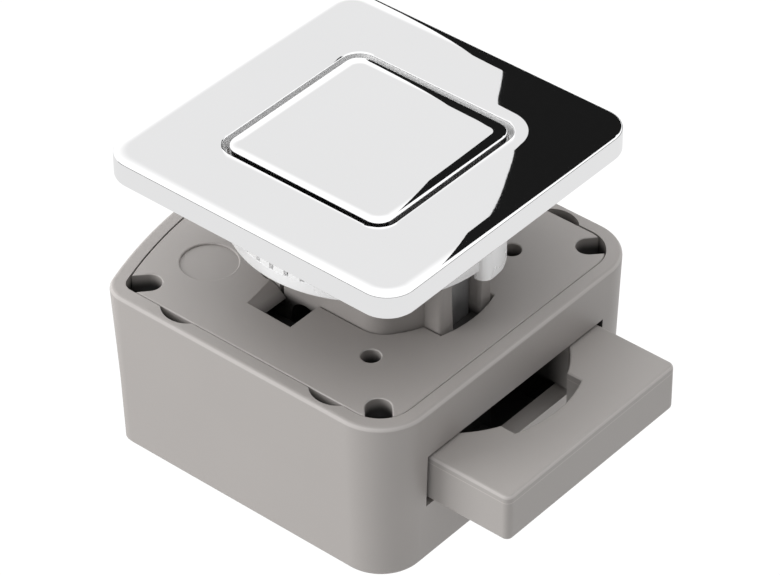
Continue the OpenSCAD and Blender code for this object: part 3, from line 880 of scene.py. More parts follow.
@dataclass
class Recipe:
    """A Geometry Nodes tree under construction, with a Material input."""

    name: str
    kinds: dict[str, str]
    tree: bpy.types.GeometryNodeTree = field(init=False)

    def __post_init__(self) -> None:
        """Makes the tree with its inputs and a geometry output."""
        self.tree = bpy.data.node_groups.new(self.name, "GeometryNodeTree")
        inputs = {"Geometry": "Geometry", **self.kinds, "Material": "Material"}
        for label, kind in inputs.items():
            self.tree.interface.new_socket(
                name=label, in_out="INPUT", socket_type="NodeSocket" + kind
            )
        self.tree.interface.new_socket(
            name="Geometry", in_out="OUTPUT", socket_type="NodeSocketGeometry"
        )
        add_ends(self.tree)

    @property
    def given(self) -> bpy.types.bpy_prop_collection:
        """The sockets of the tree's inputs."""
        return self.tree.nodes["in"].outputs

    def node(self, kind: str, **values: object) -> bpy.types.bpy_prop_collection:
        """Adds a node and returns its outputs.

        Args:
            kind: The node's type.
            values: What its inputs get, with a line for each space in their names.

        Returns:
            The node's output sockets.
        """
        inputs = {label.replace("_", " "): value for label, value in values.items()}
        return add_node(self.tree, kind, inputs).outputs

    def finish(self, geometry: bpy.types.NodeSocket) -> None:
        """Ends the tree in Realize Instances and Set Material."""
        real = self.node("GeometryNodeRealizeInstances", Geometry=geometry)["Geometry"]
        painted = self.node(
            "GeometryNodeSetMaterial", Geometry=real, Material=self.given["Material"]
        )
        self.tree.links.new(painted["Geometry"], self.tree.nodes["out"].inputs["Geometry"])

    def repeat(self, points: bpy.types.NodeSocket, **turn: bpy.types.NodeSocket) -> None:
        """Ends the tree in the Shape input on every point, with a Rotation if one is given."""
        shape = self.node("GeometryNodeObjectInfo", Object=self.given["Shape"])["Geometry"]
        placed = self.node(
            "GeometryNodeInstanceOnPoints", Points=points, Instance=shape, **turn
        )
        self.finish(placed["Instances"])

    def run(self, name: str, values: dict[str, object]) -> bpy.types.Object:
        """Runs the tree on an empty mesh and returns the plain result.

        Args:
            name: The result's name.
            values: The inputs' values by name.

        Returns:
            The plain mesh object.
        """
        carrier = new_object(name + "_recipe", bpy.data.meshes.new(name + "_seed"))
        modifier = carrier.modifiers.new("recipe", "NODES")
        modifier.node_group = self.tree
        for item in self.tree.interface.items_tree:
            if item.item_type == "SOCKET" and item.name in values:
                modifier[item.identifier] = values[item.name]
        return baked(carrier, name)


def coil_recipe(steps: int = 24, wire_steps: int = 10) -> Recipe:
    """Makes the tree for a coil spring along +Z.

    Args:
        steps: The number of steps in a turn.
        wire_steps: The number of sides of the wire.

    Returns:
        The tree, with inputs Turns, Radius, Height, Wire and Material.
    """
    recipe = Recipe("coil spring", dict.fromkeys(("Turns", "Radius", "Height", "Wire"), "Float"))
    given = recipe.given
    spiral = recipe.node(
        "GeometryNodeCurveSpiral", Resolution=steps, Rotations=given["Turns"],
        Start_Radius=given["Radius"], End_Radius=given["Radius"], Height=given["Height"],
    )
    circle = recipe.node(
        "GeometryNodeCurvePrimitiveCircle", Resolution=wire_steps, Radius=given["Wire"]
    )
    sweep = recipe.node(
        "GeometryNodeCurveToMesh", Fill_Caps=True, Curve=spiral["Curve"],
        Profile_Curve=circle["Curve"],
    )
    recipe.finish(sweep["Mesh"])
    return recipe


def grid_recipe(name: str) -> Recipe:
    """Makes the tree that puts one shape on every corner of a grid.

    Args:
        name: The tree's name.

    Returns:
        The tree, with inputs Shape, Size X, Size Y, Count X, Count Y and Material.
    """
    kinds = {"Size X": "Float", "Size Y": "Float", "Count X": "Int", "Count Y": "Int"}
    recipe = Recipe(name, {"Shape": "Object", **kinds})
    given = recipe.given
    grid = recipe.node(
        "GeometryNodeMeshGrid", Size_X=given["Size X"], Size_Y=given["Size Y"],
        Vertices_X=given["Count X"], Vertices_Y=given["Count Y"],
    )
    recipe.repeat(grid["Mesh"])
    return recipe


def ring_recipe(name: str) -> Recipe:
    """Makes the tree that sets one shape round a circle, each turned to face out.

    Args:
        name: The tree's name.

    Returns:
        The tree, with inputs Shape, Count, Radius and Material.
    """
    recipe = Recipe(name, {"Shape": "Object", "Count": "Int", "Radius": "Float"})
    given = recipe.given
    ring = recipe.node(
        "GeometryNodeMeshCircle", Vertices=given["Count"], Radius=given["Radius"]
    )
    spot = recipe.node("GeometryNodeInputPosition")["Position"]
    facing = add_node(recipe.tree, "FunctionNodeAlignRotationToVector", {"Vector": spot}, axis="X")
    recipe.repeat(ring["Mesh"], Rotation=facing.outputs["Rotation"])
    return recipe


# Sub-assemblies


@dataclass
class Rosette:
    """The square plate, its collar and lugs, and what holds it. Sizes in millimetres."""

    half: float = 27.5
    corner: float = 4.8
    low: float = 19.3
    top: float = 23.3
    edge: float = 0.3
    soft: float = 2.1
    soft_drop: float = 0.08
    opening: float = 15.86
    opening_corner: float = 3.25
    lip: float = 0.15
    wall_margin: float = 0.2
    foot: float = 0.25
    foot_in: float = 0.07
    chamfer: float = 0.1
    fillet: float = 0.15
    recess: float = 20.9
    sink: float = 0.2
    rim: float = 2.2
    collar_r: float = 21.3
    collar_in: float = 20.5
    collar_low: float = 9.8
    band: float = 2.0
    teeth_high: float = 5.5
    tooth_depth: float = 0.5
    teeth: int = 50
    lug_low: float = 8.3
    lug_r: float = 22.6
    lug_corner: float = 1.7
    lug_turn: float = 1.8
    lug_angles: Pair = (-2.5, 11.5)
    lug_soft: float = 0.22
    peg_y: float = 18.1
    peg_z: float = 20.55
    peg_high: float = 0.9
    peg_r: Pair = (1.95, 2.1)
    clip_half: float = 4.0
    clip_edge: float = 0.12

    def plate(self) -> bpy.types.Object:
        """Builds the plate as one ring, rounded at its rim and at its opening."""
        rings: list[tuple[list[Pair], float]] = []

        def outer(inset: float, z: float) -> None:
            """Adds a ring on the outside."""
            rings.append((square_ring(self.half - inset, self.corner - inset), z))

        def inner(grow: float, z: float) -> None:
            """Adds a ring round the opening."""
            rings.append((square_ring(self.opening + grow, self.opening_corner + grow), z))

        outer(self.foot, self.low)
        outer(self.foot_in, self.low + self.foot_in)
        outer(0.0, self.low + self.foot)
        for inset, drop in soft_profile(self.edge, self.soft, self.soft_drop):
            outer(inset, self.top - drop)
        for inset, drop in reversed(soft_profile(self.lip, self.soft, self.soft_drop)):
            inner(inset, self.top - drop)
        inner(0.0, self.recess + self.chamfer)
        inner(self.chamfer, self.recess)
        wall, corner = self.half - self.rim, self.corner - self.rim / 2
        for half, z in (
            (wall - self.fillet, self.recess), (wall, self.recess - self.fillet),
            (wall, self.low + self.chamfer), (wall + self.chamfer, self.low),
        ):
            rings.append((square_ring(half, corner), z))
        made = loft("rosette_face", rings, closed=True)
        # The opening's walls below the lip are marked for painted shade on the near sides and a painted highlight on
        # the far sides.
        shade_mark, highlight_mark = 1, 2
        for face in made.data.polygons:
            x, y, z = face.center / MM
            within = max(abs(x), abs(y)) < self.opening + self.wall_margin
            if within and z < self.top - self.soft_drop - self.lip:
                near = x > self.opening - 1 or y < 1 - self.opening
                face.material_index = shade_mark if near else highlight_mark
        return made

    def collar(self) -> bpy.types.Object:
        """Builds the collar's ring, with the band that the serrations stand on."""
        low, out, inn = self.collar_low, self.collar_r, self.collar_in
        deep = out - self.tooth_depth
        top = low + self.band + self.teeth_high
        high = self.recess + self.sink
        foot, foot_in, bevel, step = 0.2, 0.06, 0.08, 0.05
        profile = [
            (inn + self.fillet, low), (out - foot, low), (out - foot_in, low + foot_in),
            (out, low + foot), (out, low + self.band - bevel), (out - bevel, low + self.band),
            (deep, low + self.band + step), (deep, top - step), (out - bevel, top),
            (out, top + bevel), (out, high), (inn, high), (inn, low + self.fillet),
        ]
        return turned("rosette_collar", profile)

    def groove(self) -> bpy.types.Object:
        """Builds the dark band of painted shade that shows between the serrations."""
        gap, proud = 0.06, 0.03
        low = self.collar_low + self.band + gap
        high = low + self.teeth_high - 2 * gap
        near = self.collar_r - self.tooth_depth
        inn, out = near - 0.1, near + proud
        return turned("collar_groove", [(inn, low), (out, low), (out, high), (inn, high)])

    def serrations(self, palette: Palette) -> bpy.types.Object:
        """Builds the ring of saw teeth with Geometry Nodes."""
        half = math.pi * self.collar_r / self.teeth
        overlap = 0.02
        low = self.collar_low + self.band - overlap
        root, crest = -0.15, self.tooth_depth
        steep, tip, shallow = half * 0.95, half * 0.5, half * 0.7
        outline = [
            (root, -steep), (crest - 0.1, -steep), (crest, tip), (overlap, shallow),
            (root, shallow),
        ]
        rings = [(outline, low), (outline, low + self.teeth_high + 2 * overlap)]
        tooth = new_object("tooth", skinned("tooth", rings))
        made = ring_recipe("collar serrations").run(
            "collar_serrations",
            {
                "Shape": tooth,
                "Count": self.teeth,
                "Radius": (self.collar_r - self.tooth_depth) * MM,
                "Material": palette.material(SATIN),
            },
        )
        bpy.data.objects.remove(tooth)
        return made

    def lugs(self) -> bpy.types.Object:
        """Builds the two lugs beside the collar, each round at one end and one lower corner."""

        def fall(radius: float, along: float) -> float:
            """Returns how far a round corner lies back at a distance from its end."""
            gap = max(0.0, radius - along)
            return radius - math.sqrt(max(0.0, radius**2 - gap**2))

        work = bmesh.new()
        steps = 30
        first, last = self.lug_angles
        high = self.recess + self.sink
        soft = set()
        for turn in (0.0, 180.0):
            rows = []
            for i in range(steps + 1):
                angle = first + (last - first) * (0.5 - 0.5 * math.cos(math.pi * i / steps))
                low = self.lug_low + fall(
                    self.lug_corner, math.radians(last - angle) * self.lug_r
                )
                out = self.lug_r - fall(self.lug_turn, math.radians(angle - first) * self.lug_r)
                a = math.radians(turn + angle)
                row = [
                    work.verts.new((r * math.cos(a) * MM, r * math.sin(a) * MM, z * MM))
                    for r, z in (
                        (self.collar_in, low), (out, low), (out, high), (self.collar_in, high),
                    )
                ]
                soft.add(row[1])
                rows.append(row)
            skin(work, rows)
        bmesh.ops.recalc_face_normals(work, faces=work.faces)
        rim = [edge for edge in work.edges if all(vert in soft for vert in edge.verts)]
        bmesh.ops.bevel(
            work, geom=rim, offset=self.lug_soft * MM, offset_type="OFFSET", segments=3,
            profile=0.5, affect="EDGES", clamp_overlap=True,
        )
        return shaded(finished(work, "rosette_lugs"), "rosette_lugs", 30)

    def pegs(self) -> bpy.types.Object:
        """Builds the two pegs under the plate that the clips are screwed to."""
        work = bmesh.new()
        low, high = self.peg_r
        for side in (-1, 1):
            bmesh.ops.create_cone(
                work, cap_ends=True, segments=40, radius1=low * MM, radius2=high * MM,
                depth=self.peg_high * MM,
                matrix=Matrix.Translation((0, side * self.peg_y * MM, self.peg_z * MM)),
            )
        mesh = finished(work, "rosette_pegs")
        smooth_by_angle(mesh, 30)
        return new_object("rosette_pegs", mesh)

    def build(self, palette: Palette) -> None:
        """Builds and dresses the rosette's pieces."""
        dress(self.plate(), CHROME, palette, Body.CASE, ["rosette_plate"], OPENING_SHADE, OPENING_HIGHLIGHT)
        for piece in (self.collar(), self.serrations(palette), self.lugs(), self.pegs()):
            dress(piece, SATIN, palette, Body.CASE, ["rosette_plate"])
        dress(self.groove(), SHADE, palette, Body.CASE, ["rosette_plate"])
        for side in ("left", "right"):
            node = "rosette_clip_" + side
            clip = SolidCopy(node).rounded(
                self.clip_edge, 2, lambda m, a, b: abs(abs(m.x) - self.clip_half) < NEAR
            )
            dress(clip.placed(f"grip_strip_{side}"), SPRING, palette, Body.CASE, [node])


@dataclass
class Button:
    """The square cap and what it stands on. Sizes in millimetres."""

    half: float = 15.0
    corner: float = 2.6
    low: float = 13.9
    top: float = 23.3
    edge: float = 0.22
    soft: float = 1.9
    soft_drop: float = 0.1
    wall: float = 1.4
    roof: float = 1.5
    roof_edge: float = 0.3
    inner_foot: float = 0.15
    foot: float = 0.2
    foot_in: float = 0.06
    corner_share: float = 0.8
    screw_low: float = 17.0
    plunger_x: float = 12.0
    plunger_z: float = 13.0
    sharp: float = 50.0
    block_edge: float = 0.2
    screw_edge: float = 0.1
    plunger_edge: float = 0.35

    def cap(self) -> bpy.types.Object:
        """Builds the hollow cap, from its inner roof round to its outer face."""
        inner = self.half - self.wall
        inner_corner = self.corner - self.wall
        roof = self.top - self.roof
        rings = [
            (square_ring(half, corner), z)
            for half, corner, z in (
                (inner - self.roof_edge, inner_corner, roof),
                (inner, inner_corner, roof - self.roof_edge),
                (inner, inner_corner, self.low + self.inner_foot),
                (inner + self.inner_foot, inner_corner + self.inner_foot, self.low),
                (self.half - self.foot, self.corner - self.foot, self.low),
                (self.half - self.foot_in, self.corner - self.foot_in,
                 self.low + self.foot_in),
                (self.half, self.corner, self.low + self.foot),
            )
        ]
        for inset, drop in soft_profile(self.edge, self.soft, self.soft_drop):
            corner = self.corner - self.corner_share * inset
            rings.append((square_ring(self.half - inset, corner), self.top - drop))
        return loft("button_cap_shell", rings)

    def build(self, palette: Palette) -> None:
        """Builds and dresses the button's pieces."""
        dress(self.cap(), CHROME, palette, Body.BUTTON, ["button_cap"])
        for node, name, finish, edge, segments, test in (
            ("button_carrier", "button_block", DARK, self.block_edge, 2, lambda m, a, b: True),
            ("carrier_screw", "button_screw", SCREW, self.screw_edge, 2,
             lambda m, a, b: m.z > self.screw_low),
            ("plunger", "cast_plunger", ZINC, self.plunger_edge, 3,
             lambda m, a, b: abs(m.x) > self.plunger_x or m.z > self.plunger_z),
        ):
            copy = SolidCopy(node).rounded(edge, segments, test, self.sharp)
            dress(copy.placed(name), finish, palette, Body.BUTTON, [node])


@dataclass
class CrossScrew:
    """A screw with a cross recess, its seat at the origin. Sizes in millimetres."""

    head: tuple[Pair, ...] = (
        (0.0, 0.85), (0.25, 0.85), (0.42, 1.25), (1.1, 1.36), (1.5, 1.2), (1.74, 0.9),
        (1.8, 0.6), (1.8, 0.1), (1.7, 0.0), (1.2, 0.0),
    )
    thread_from: float = -0.4
    thread_to: float = -10.6
    pitch: float = 0.55
    crest: float = 1.2
    root: float = 0.92
    tip: tuple[Pair, ...] = ((0.6, -11.4), (0.05, -11.9), (0.0, -11.9))
    arm: float = 1.05
    thin: float = 0.25
    recess: Pair = (0.65, 1.85)
    steps: int = 36
    weld: float = 1e-6
    smooth: float = 35.0

    def blank(self) -> bpy.types.Object:
        """Builds the screw without its recess."""
        profile = list(self.head)
        z = self.thread_from
        while z > self.thread_to:
            profile += [(self.crest, z), (self.root, z - self.pitch / 2)]
            z -= self.pitch
        profile += self.tip
        work = bmesh.new()
        verts = [work.verts.new((r * MM, 0, z * MM)) for r, z in profile]
        edges = [work.edges.new(pair) for pair in zip(verts, verts[1:])]
        bmesh.ops.spin(
            work, geom=verts + edges, cent=(0, 0, 0), axis=(0, 0, 1),
            angle=2 * math.pi, steps=self.steps, use_merge=True, use_duplicate=False,
        )
        bmesh.ops.remove_doubles(work, verts=work.verts, dist=self.weld)
        bmesh.ops.recalc_face_normals(work, faces=work.faces)
        return new_object("screw", finished(work, "screw"))

    def cross(self) -> bpy.types.Object:
        """Builds the cross-shaped tool of the recess."""
        quarter = ((self.arm, -self.thin), (self.arm, self.thin), (self.thin, self.thin))
        outline = []
        for turn in range(4):
            c, s = math.cos(turn * math.pi / 2), math.sin(turn * math.pi / 2)
            outline += [(x * c - y * s, x * s + y * c) for x, y in quarter]
        return new_object("cross", skinned("cross", [(outline, z) for z in self.recess]))

    def shape(self) -> bpy.types.Object:
        """Builds the screw."""
        screw, cutter = self.blank(), self.cross()
        cut = screw.modifiers.new("cross", "BOOLEAN")
        cut.object = cutter
        cut.operation = "DIFFERENCE"
        cut.solver = "EXACT"
        made = baked(screw, "screw")
        bpy.data.objects.remove(cutter)
        smooth_by_angle(made.data, self.smooth)
        return made


@dataclass
class Case:
    """The housing, its cover and the guide tower. Sizes in millimetres."""

    height: float = 28.8
    draft: float = 1.8
    bow_draft: float = 2.8
    fillet: float = 0.8
    front: float = 28.3
    slot_half: float = 22.0
    slot_z: Pair = (-20.0, -7.0)
    slot_edge: float = 0.3
    sill_reach: float = 25.5
    side_y: float = 29.0
    front_x: float = 27.5
    corner: Triple = (20.3, 21.6, 7.5)
    bow_x: float = 48.2
    bow_r: float = 79.5
    back: Pair = (-25.0, 25.5)
    tower_top: float = 12.8
    tower_cuts: Pair = (-8.3, 11.9)
    tower_edge: float = 0.3
    sill_x: float = -7.9
    sill_y: float = -15.0
    sill_r: float = 1.3
    cover_edge: float = 0.22
    post_x: float = 18.5
    post_y: float = 3.0
    post_low: float = -6.0
    post_r: float = 0.75
    screw_seat: float = -4.95
    screw_grid: Pair = (44.2, 48.2)

    def housing(self) -> bpy.types.Object:
        """Builds the housing with rounded outer edges."""
        copy = SolidCopy("case_housing")
        # Faces other than the outer skin are marked 1, for the finish with painted shade that darkens with depth.
        for face in copy.work.faces:
            middle, rise = face.calc_center_median() / MM, face.normal.z
            skin = all(self.on_front(vert.co) or self.on_bow(vert.co) for vert in face.verts)
            shown = middle.z > -0.1 or middle.x > self.sill_reach
            outside = skin or rise < -LEVEL or (rise > LEVEL and shown)
            face.material_index = int(not outside)
        self.draw_in(copy.work)
        return (
            copy.rounded(self.fillet, 5, outer_level(0.0))
            .rounded(self.fillet, 4, outer_level(-self.height))
            .rounded(self.slot_edge, 3, self.at_slot)
            .placed("moulded_housing")
        )

    def at_slot(self, middle: Vector, first: Vector, second: Vector) -> bool:
        """Tells whether an edge lies round the opening that the bolt leaves by."""
        low, high = self.slot_z
        level_in = abs(middle.y) < self.slot_half and low < middle.z < high
        return middle.x > self.front - NEAR and level_in

    def draw_in(self, work: bmesh.types.BMesh) -> None:
        """Gives the housing's outer walls their draft, towards the floor.

        Args:
            work: The housing's working mesh, with its upper face at the origin's height.
        """
        moved = []
        for vert in work.verts:
            walls = [
                face.normal for face in vert.link_faces
                if abs(face.normal.z) < UPRIGHT
                and face.normal.x * vert.co.x + face.normal.y * vert.co.y > 0
            ]
            bowed = self.on_bow(vert.co)
            if walls and (bowed or self.on_front(vert.co)):
                slope = math.tan(math.radians(self.bow_draft if bowed else self.draft))
                mean = sum(walls, Vector()).normalized()
                moved.append((vert, mean * (vert.co.z * slope)))
        for vert, shift in moved:
            vert.co += shift

    def on_front(self, place: Vector) -> bool:
        """Tells whether a point is on the housing's straight walls or their round corners."""
        x, y, radius = (size * MM for size in self.corner)
        wall = abs(place.y) > self.side_y * MM or place.x > self.front_x * MM
        along, across = place.x - x, abs(place.y) - y
        return wall or (along > 0 and across > 0 and math.hypot(along, across) > radius)

    def on_bow(self, place: Vector) -> bool:
        """Tells whether a point is on the housing's outer skin, behind the axis."""
        x, y = (size * MM for size in self.back)
        bow = math.hypot(place.x - self.bow_x * MM, place.y) > self.bow_r * MM
        return place.x < 0 and (bow or (place.x < x and abs(place.y) > y))

    def at_sill(self, middle: Vector, first: Vector, second: Vector) -> bool:
        """Tells whether an edge is the cover's, at the sill beside the button."""
        return (
            abs(middle.x - self.sill_x) < 2 * NEAR and abs(middle.z) < NEAR
            and middle.y < self.sill_y
        )

    def cover(self) -> bpy.types.Object:
        """Builds the cover with soft upper edges."""
        return (
            SolidCopy("cover_plate")
            .rounded(self.sill_r, 7, self.at_sill)
            .rounded(self.cover_edge, 3, level(0.0))
            .placed("moulded_cover")
        )

    def at_post(self, middle: Vector, first: Vector, second: Vector) -> bool:
        """Tells whether an edge is one of the upright ones of the posts."""
        side = abs(abs(middle.x) - self.post_x) < NEAR and abs(middle.y) > self.post_y
        return upright(first, second) and side and middle.z > self.post_low

    def tower(self) -> bpy.types.Object:
        """Builds the tower with rounded posts and top, cut so that its openings stay apart."""
        copy = SolidCopy("guide_tower")
        for z in self.tower_cuts:
            copy.split(z)
        return (
            copy.rounded(self.post_r, 5, self.at_post)
            .rounded(self.tower_edge, 3, level(self.tower_top))
            .placed("moulded_tower")
        )

    def screws(self, palette: Palette) -> bpy.types.Object:
        """Builds the four cover screws with Geometry Nodes."""
        screw = CrossScrew().shape()
        screw.data.transform(Matrix.Translation((0, 0, self.screw_seat * MM)))
        made = grid_recipe("cover screws").run(
            "cover_screw_set",
            {
                "Shape": screw,
                "Size X": self.screw_grid[0] * MM,
                "Size Y": self.screw_grid[1] * MM,
                "Count X": 2,
                "Count Y": 2,
                "Material": palette.material(SCREW),
            },
        )
        bpy.data.objects.remove(screw)
        return made

    def build(self, palette: Palette) -> None:
        """Builds and dresses the case's pieces."""
        # The housing's inner faces, the cover and the tower get painted shade that darkens below the cover's top.
        dress(self.housing(), MOULDED, palette, Body.CASE, ["case_housing"], MOULDED_DEPTH_SHADE)
        dress(self.cover(), MOULDED_DEPTH_SHADE, palette, Body.CASE, ["cover_plate"])
        dress(self.tower(), MOULDED_DEPTH_SHADE, palette, Body.CASE, ["guide_tower"])
        dress(self.screws(palette), SCREW, palette, Body.CASE, ["cover_screws"])


@dataclass
class Bolt:
    """The bolt and its drive pin. Sizes in millimetres."""

    top: float = -9.1
    bottom: float = -17.5
    end: float = 42.3
    half: float = 19.6
    fillet: float = 0.65
    lower_fillet: float = 0.9
    well_edge: float = 0.3
    well_x: Pair = (15.5, 35.6)
    well_half: float = 13.0
    end_reach: float = 2.5
    side_reach: float = 0.1
    pin_edge: float = 0.25
    pin_sharp: float = 60.0

    def outline(self, z: float) -> EdgeTest:
        """Returns a test for the outline of the face at one height, in front of the arms."""
        x, y = self.end - self.end_reach, self.half - self.side_reach
        return lambda m, a, b: abs(m.z - z) < NEAR and (m.x > x or abs(m.y) > y)

    def in_well(self, middle: Vector, first: Vector, second: Vector) -> bool:
        """Tells whether an edge is the upper one of the clearance for the tower."""
        within = self.well_x[0] < middle.x < self.well_x[1] and abs(middle.y) < self.well_half
        return abs(middle.z - self.top) < NEAR and within

    def body(self) -> bpy.types.Object:
        """Builds the bolt, well rounded along its outline."""
        return (
            SolidCopy("bolt")
            .rounded(self.fillet, 5, self.outline(self.top))
            .rounded(self.lower_fillet, 4, self.outline(self.bottom))
            .rounded(self.well_edge, 3, self.in_well)
            .placed("moulded_bolt")
        )

    def build(self, palette: Palette) -> None:
        """Builds and dresses the bolt's pieces."""
        dress(self.body(), MOULDED_BOLT, palette, Body.BOLT, ["bolt"])
        pin = SolidCopy("drive_pin").rounded(
            self.pin_edge, 3, lambda m, a, b: True, self.pin_sharp
        )
        dress(pin.placed("cross_pin"), PIN, palette, Body.BOLT, ["drive_pin"])


@dataclass(frozen=True)
class Coil:
    """A built spring, its solid, the body that moves its far end, and its ends in metres."""

    piece: bpy.types.Object
    node: str
    body: Body
    ends: tuple[Triple, ...]


@dataclass
class Springs:
    """The coil springs and the latch's wire pieces. Sizes in millimetres."""

    plunger_x: float = 6.5
    plunger_y: float = 7.6
    plunger_r: float = 2.55
    plunger_wire: float = 0.35
    plunger_turns: float = 8.0
    plunger_low: float = -8.85
    plunger_high: float = 13.85
    bolt_r: float = 1.9
    bolt_wire: float = 0.3
    bolt_turns: float = 11.0
    seat: float = -26.75
    bolt_end: float = 3.95
    bolt_y: float = 16.15
    bolt_z: float = -13.3

    def coils(self, palette: Palette) -> list[Coil]:
        """Builds the four springs with Geometry Nodes.

        Args:
            palette: The built finishes.

        Returns:
            The springs, each with what it replaces and where it is held.
        """
        recipe = coil_recipe()
        steel = palette.material(SPRING)

        def wound(
            name: str, turns: float, radius: float, wire: float, length: float
        ) -> bpy.types.Object:
            """Returns a spring from its first wire's middle up along +Z."""
            return recipe.run(name, {
                "Turns": turns, "Radius": radius * MM, "Height": length * MM,
                "Wire": wire * MM, "Material": steel,
            })

        made = []
        low = self.plunger_low + self.plunger_wire
        length = self.plunger_high - self.plunger_low - 2 * self.plunger_wire
        for name, side in (("front", 1), ("rear", -1)):
            coil = wound(
                "button_coil_" + name,
                self.plunger_turns, self.plunger_r, self.plunger_wire, length,
            )
            x, y = side * self.plunger_x, -side * self.plunger_y
            ends = tuple((x * MM, y * MM, z * MM) for z in (low, low + length))
            coil.data.transform(Matrix.Translation(ends[0]))
            made.append(Coil(coil, "plunger_spring_" + name, Body.BUTTON, ends))
        near = self.seat + self.bolt_wire
        length = self.bolt_end - self.seat - 2 * self.bolt_wire
        for name, side in (("left", 1), ("right", -1)):
            coil = wound(
                "bolt_coil_" + name, self.bolt_turns, self.bolt_r, self.bolt_wire, length
            )
            y, z = side * self.bolt_y, self.bolt_z
            ends = tuple((x * MM, y * MM, z * MM) for x in (near, near + length))
            turn = Matrix.Rotation(math.pi / 2, 4, "Y")
            coil.data.transform(Matrix.Translation(ends[0]) @ turn)
            made.append(Coil(coil, "bolt_spring_" + name, Body.BOLT, ends))
        return made

    def build(self, palette: Palette) -> None:
        """Builds and dresses the springs, and dresses the solids that stay."""
        for coil in self.coils(palette):
            for polygon in coil.piece.data.polygons:
                polygon.use_smooth = True
            dress(coil.piece, SPRING, palette, None, [coil.node])
            first, last = coil.ends
            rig.blend(coil.piece, Body.CASE.value, coil.body.value, start=first, end=last)
        for node, finish in (
            ("track_follower", SPRING), ("follower_leaf", SPRING), ("clip_screws", SCREW),
            ("spring_guide_left", PIN), ("spring_guide_right", PIN),
        ):
            solid = frame["nodes"][node]
            solid.data.materials.clear()
            solid.data.materials.append(palette.material(finish))
            LOG.info("%s keeps its solid", node)


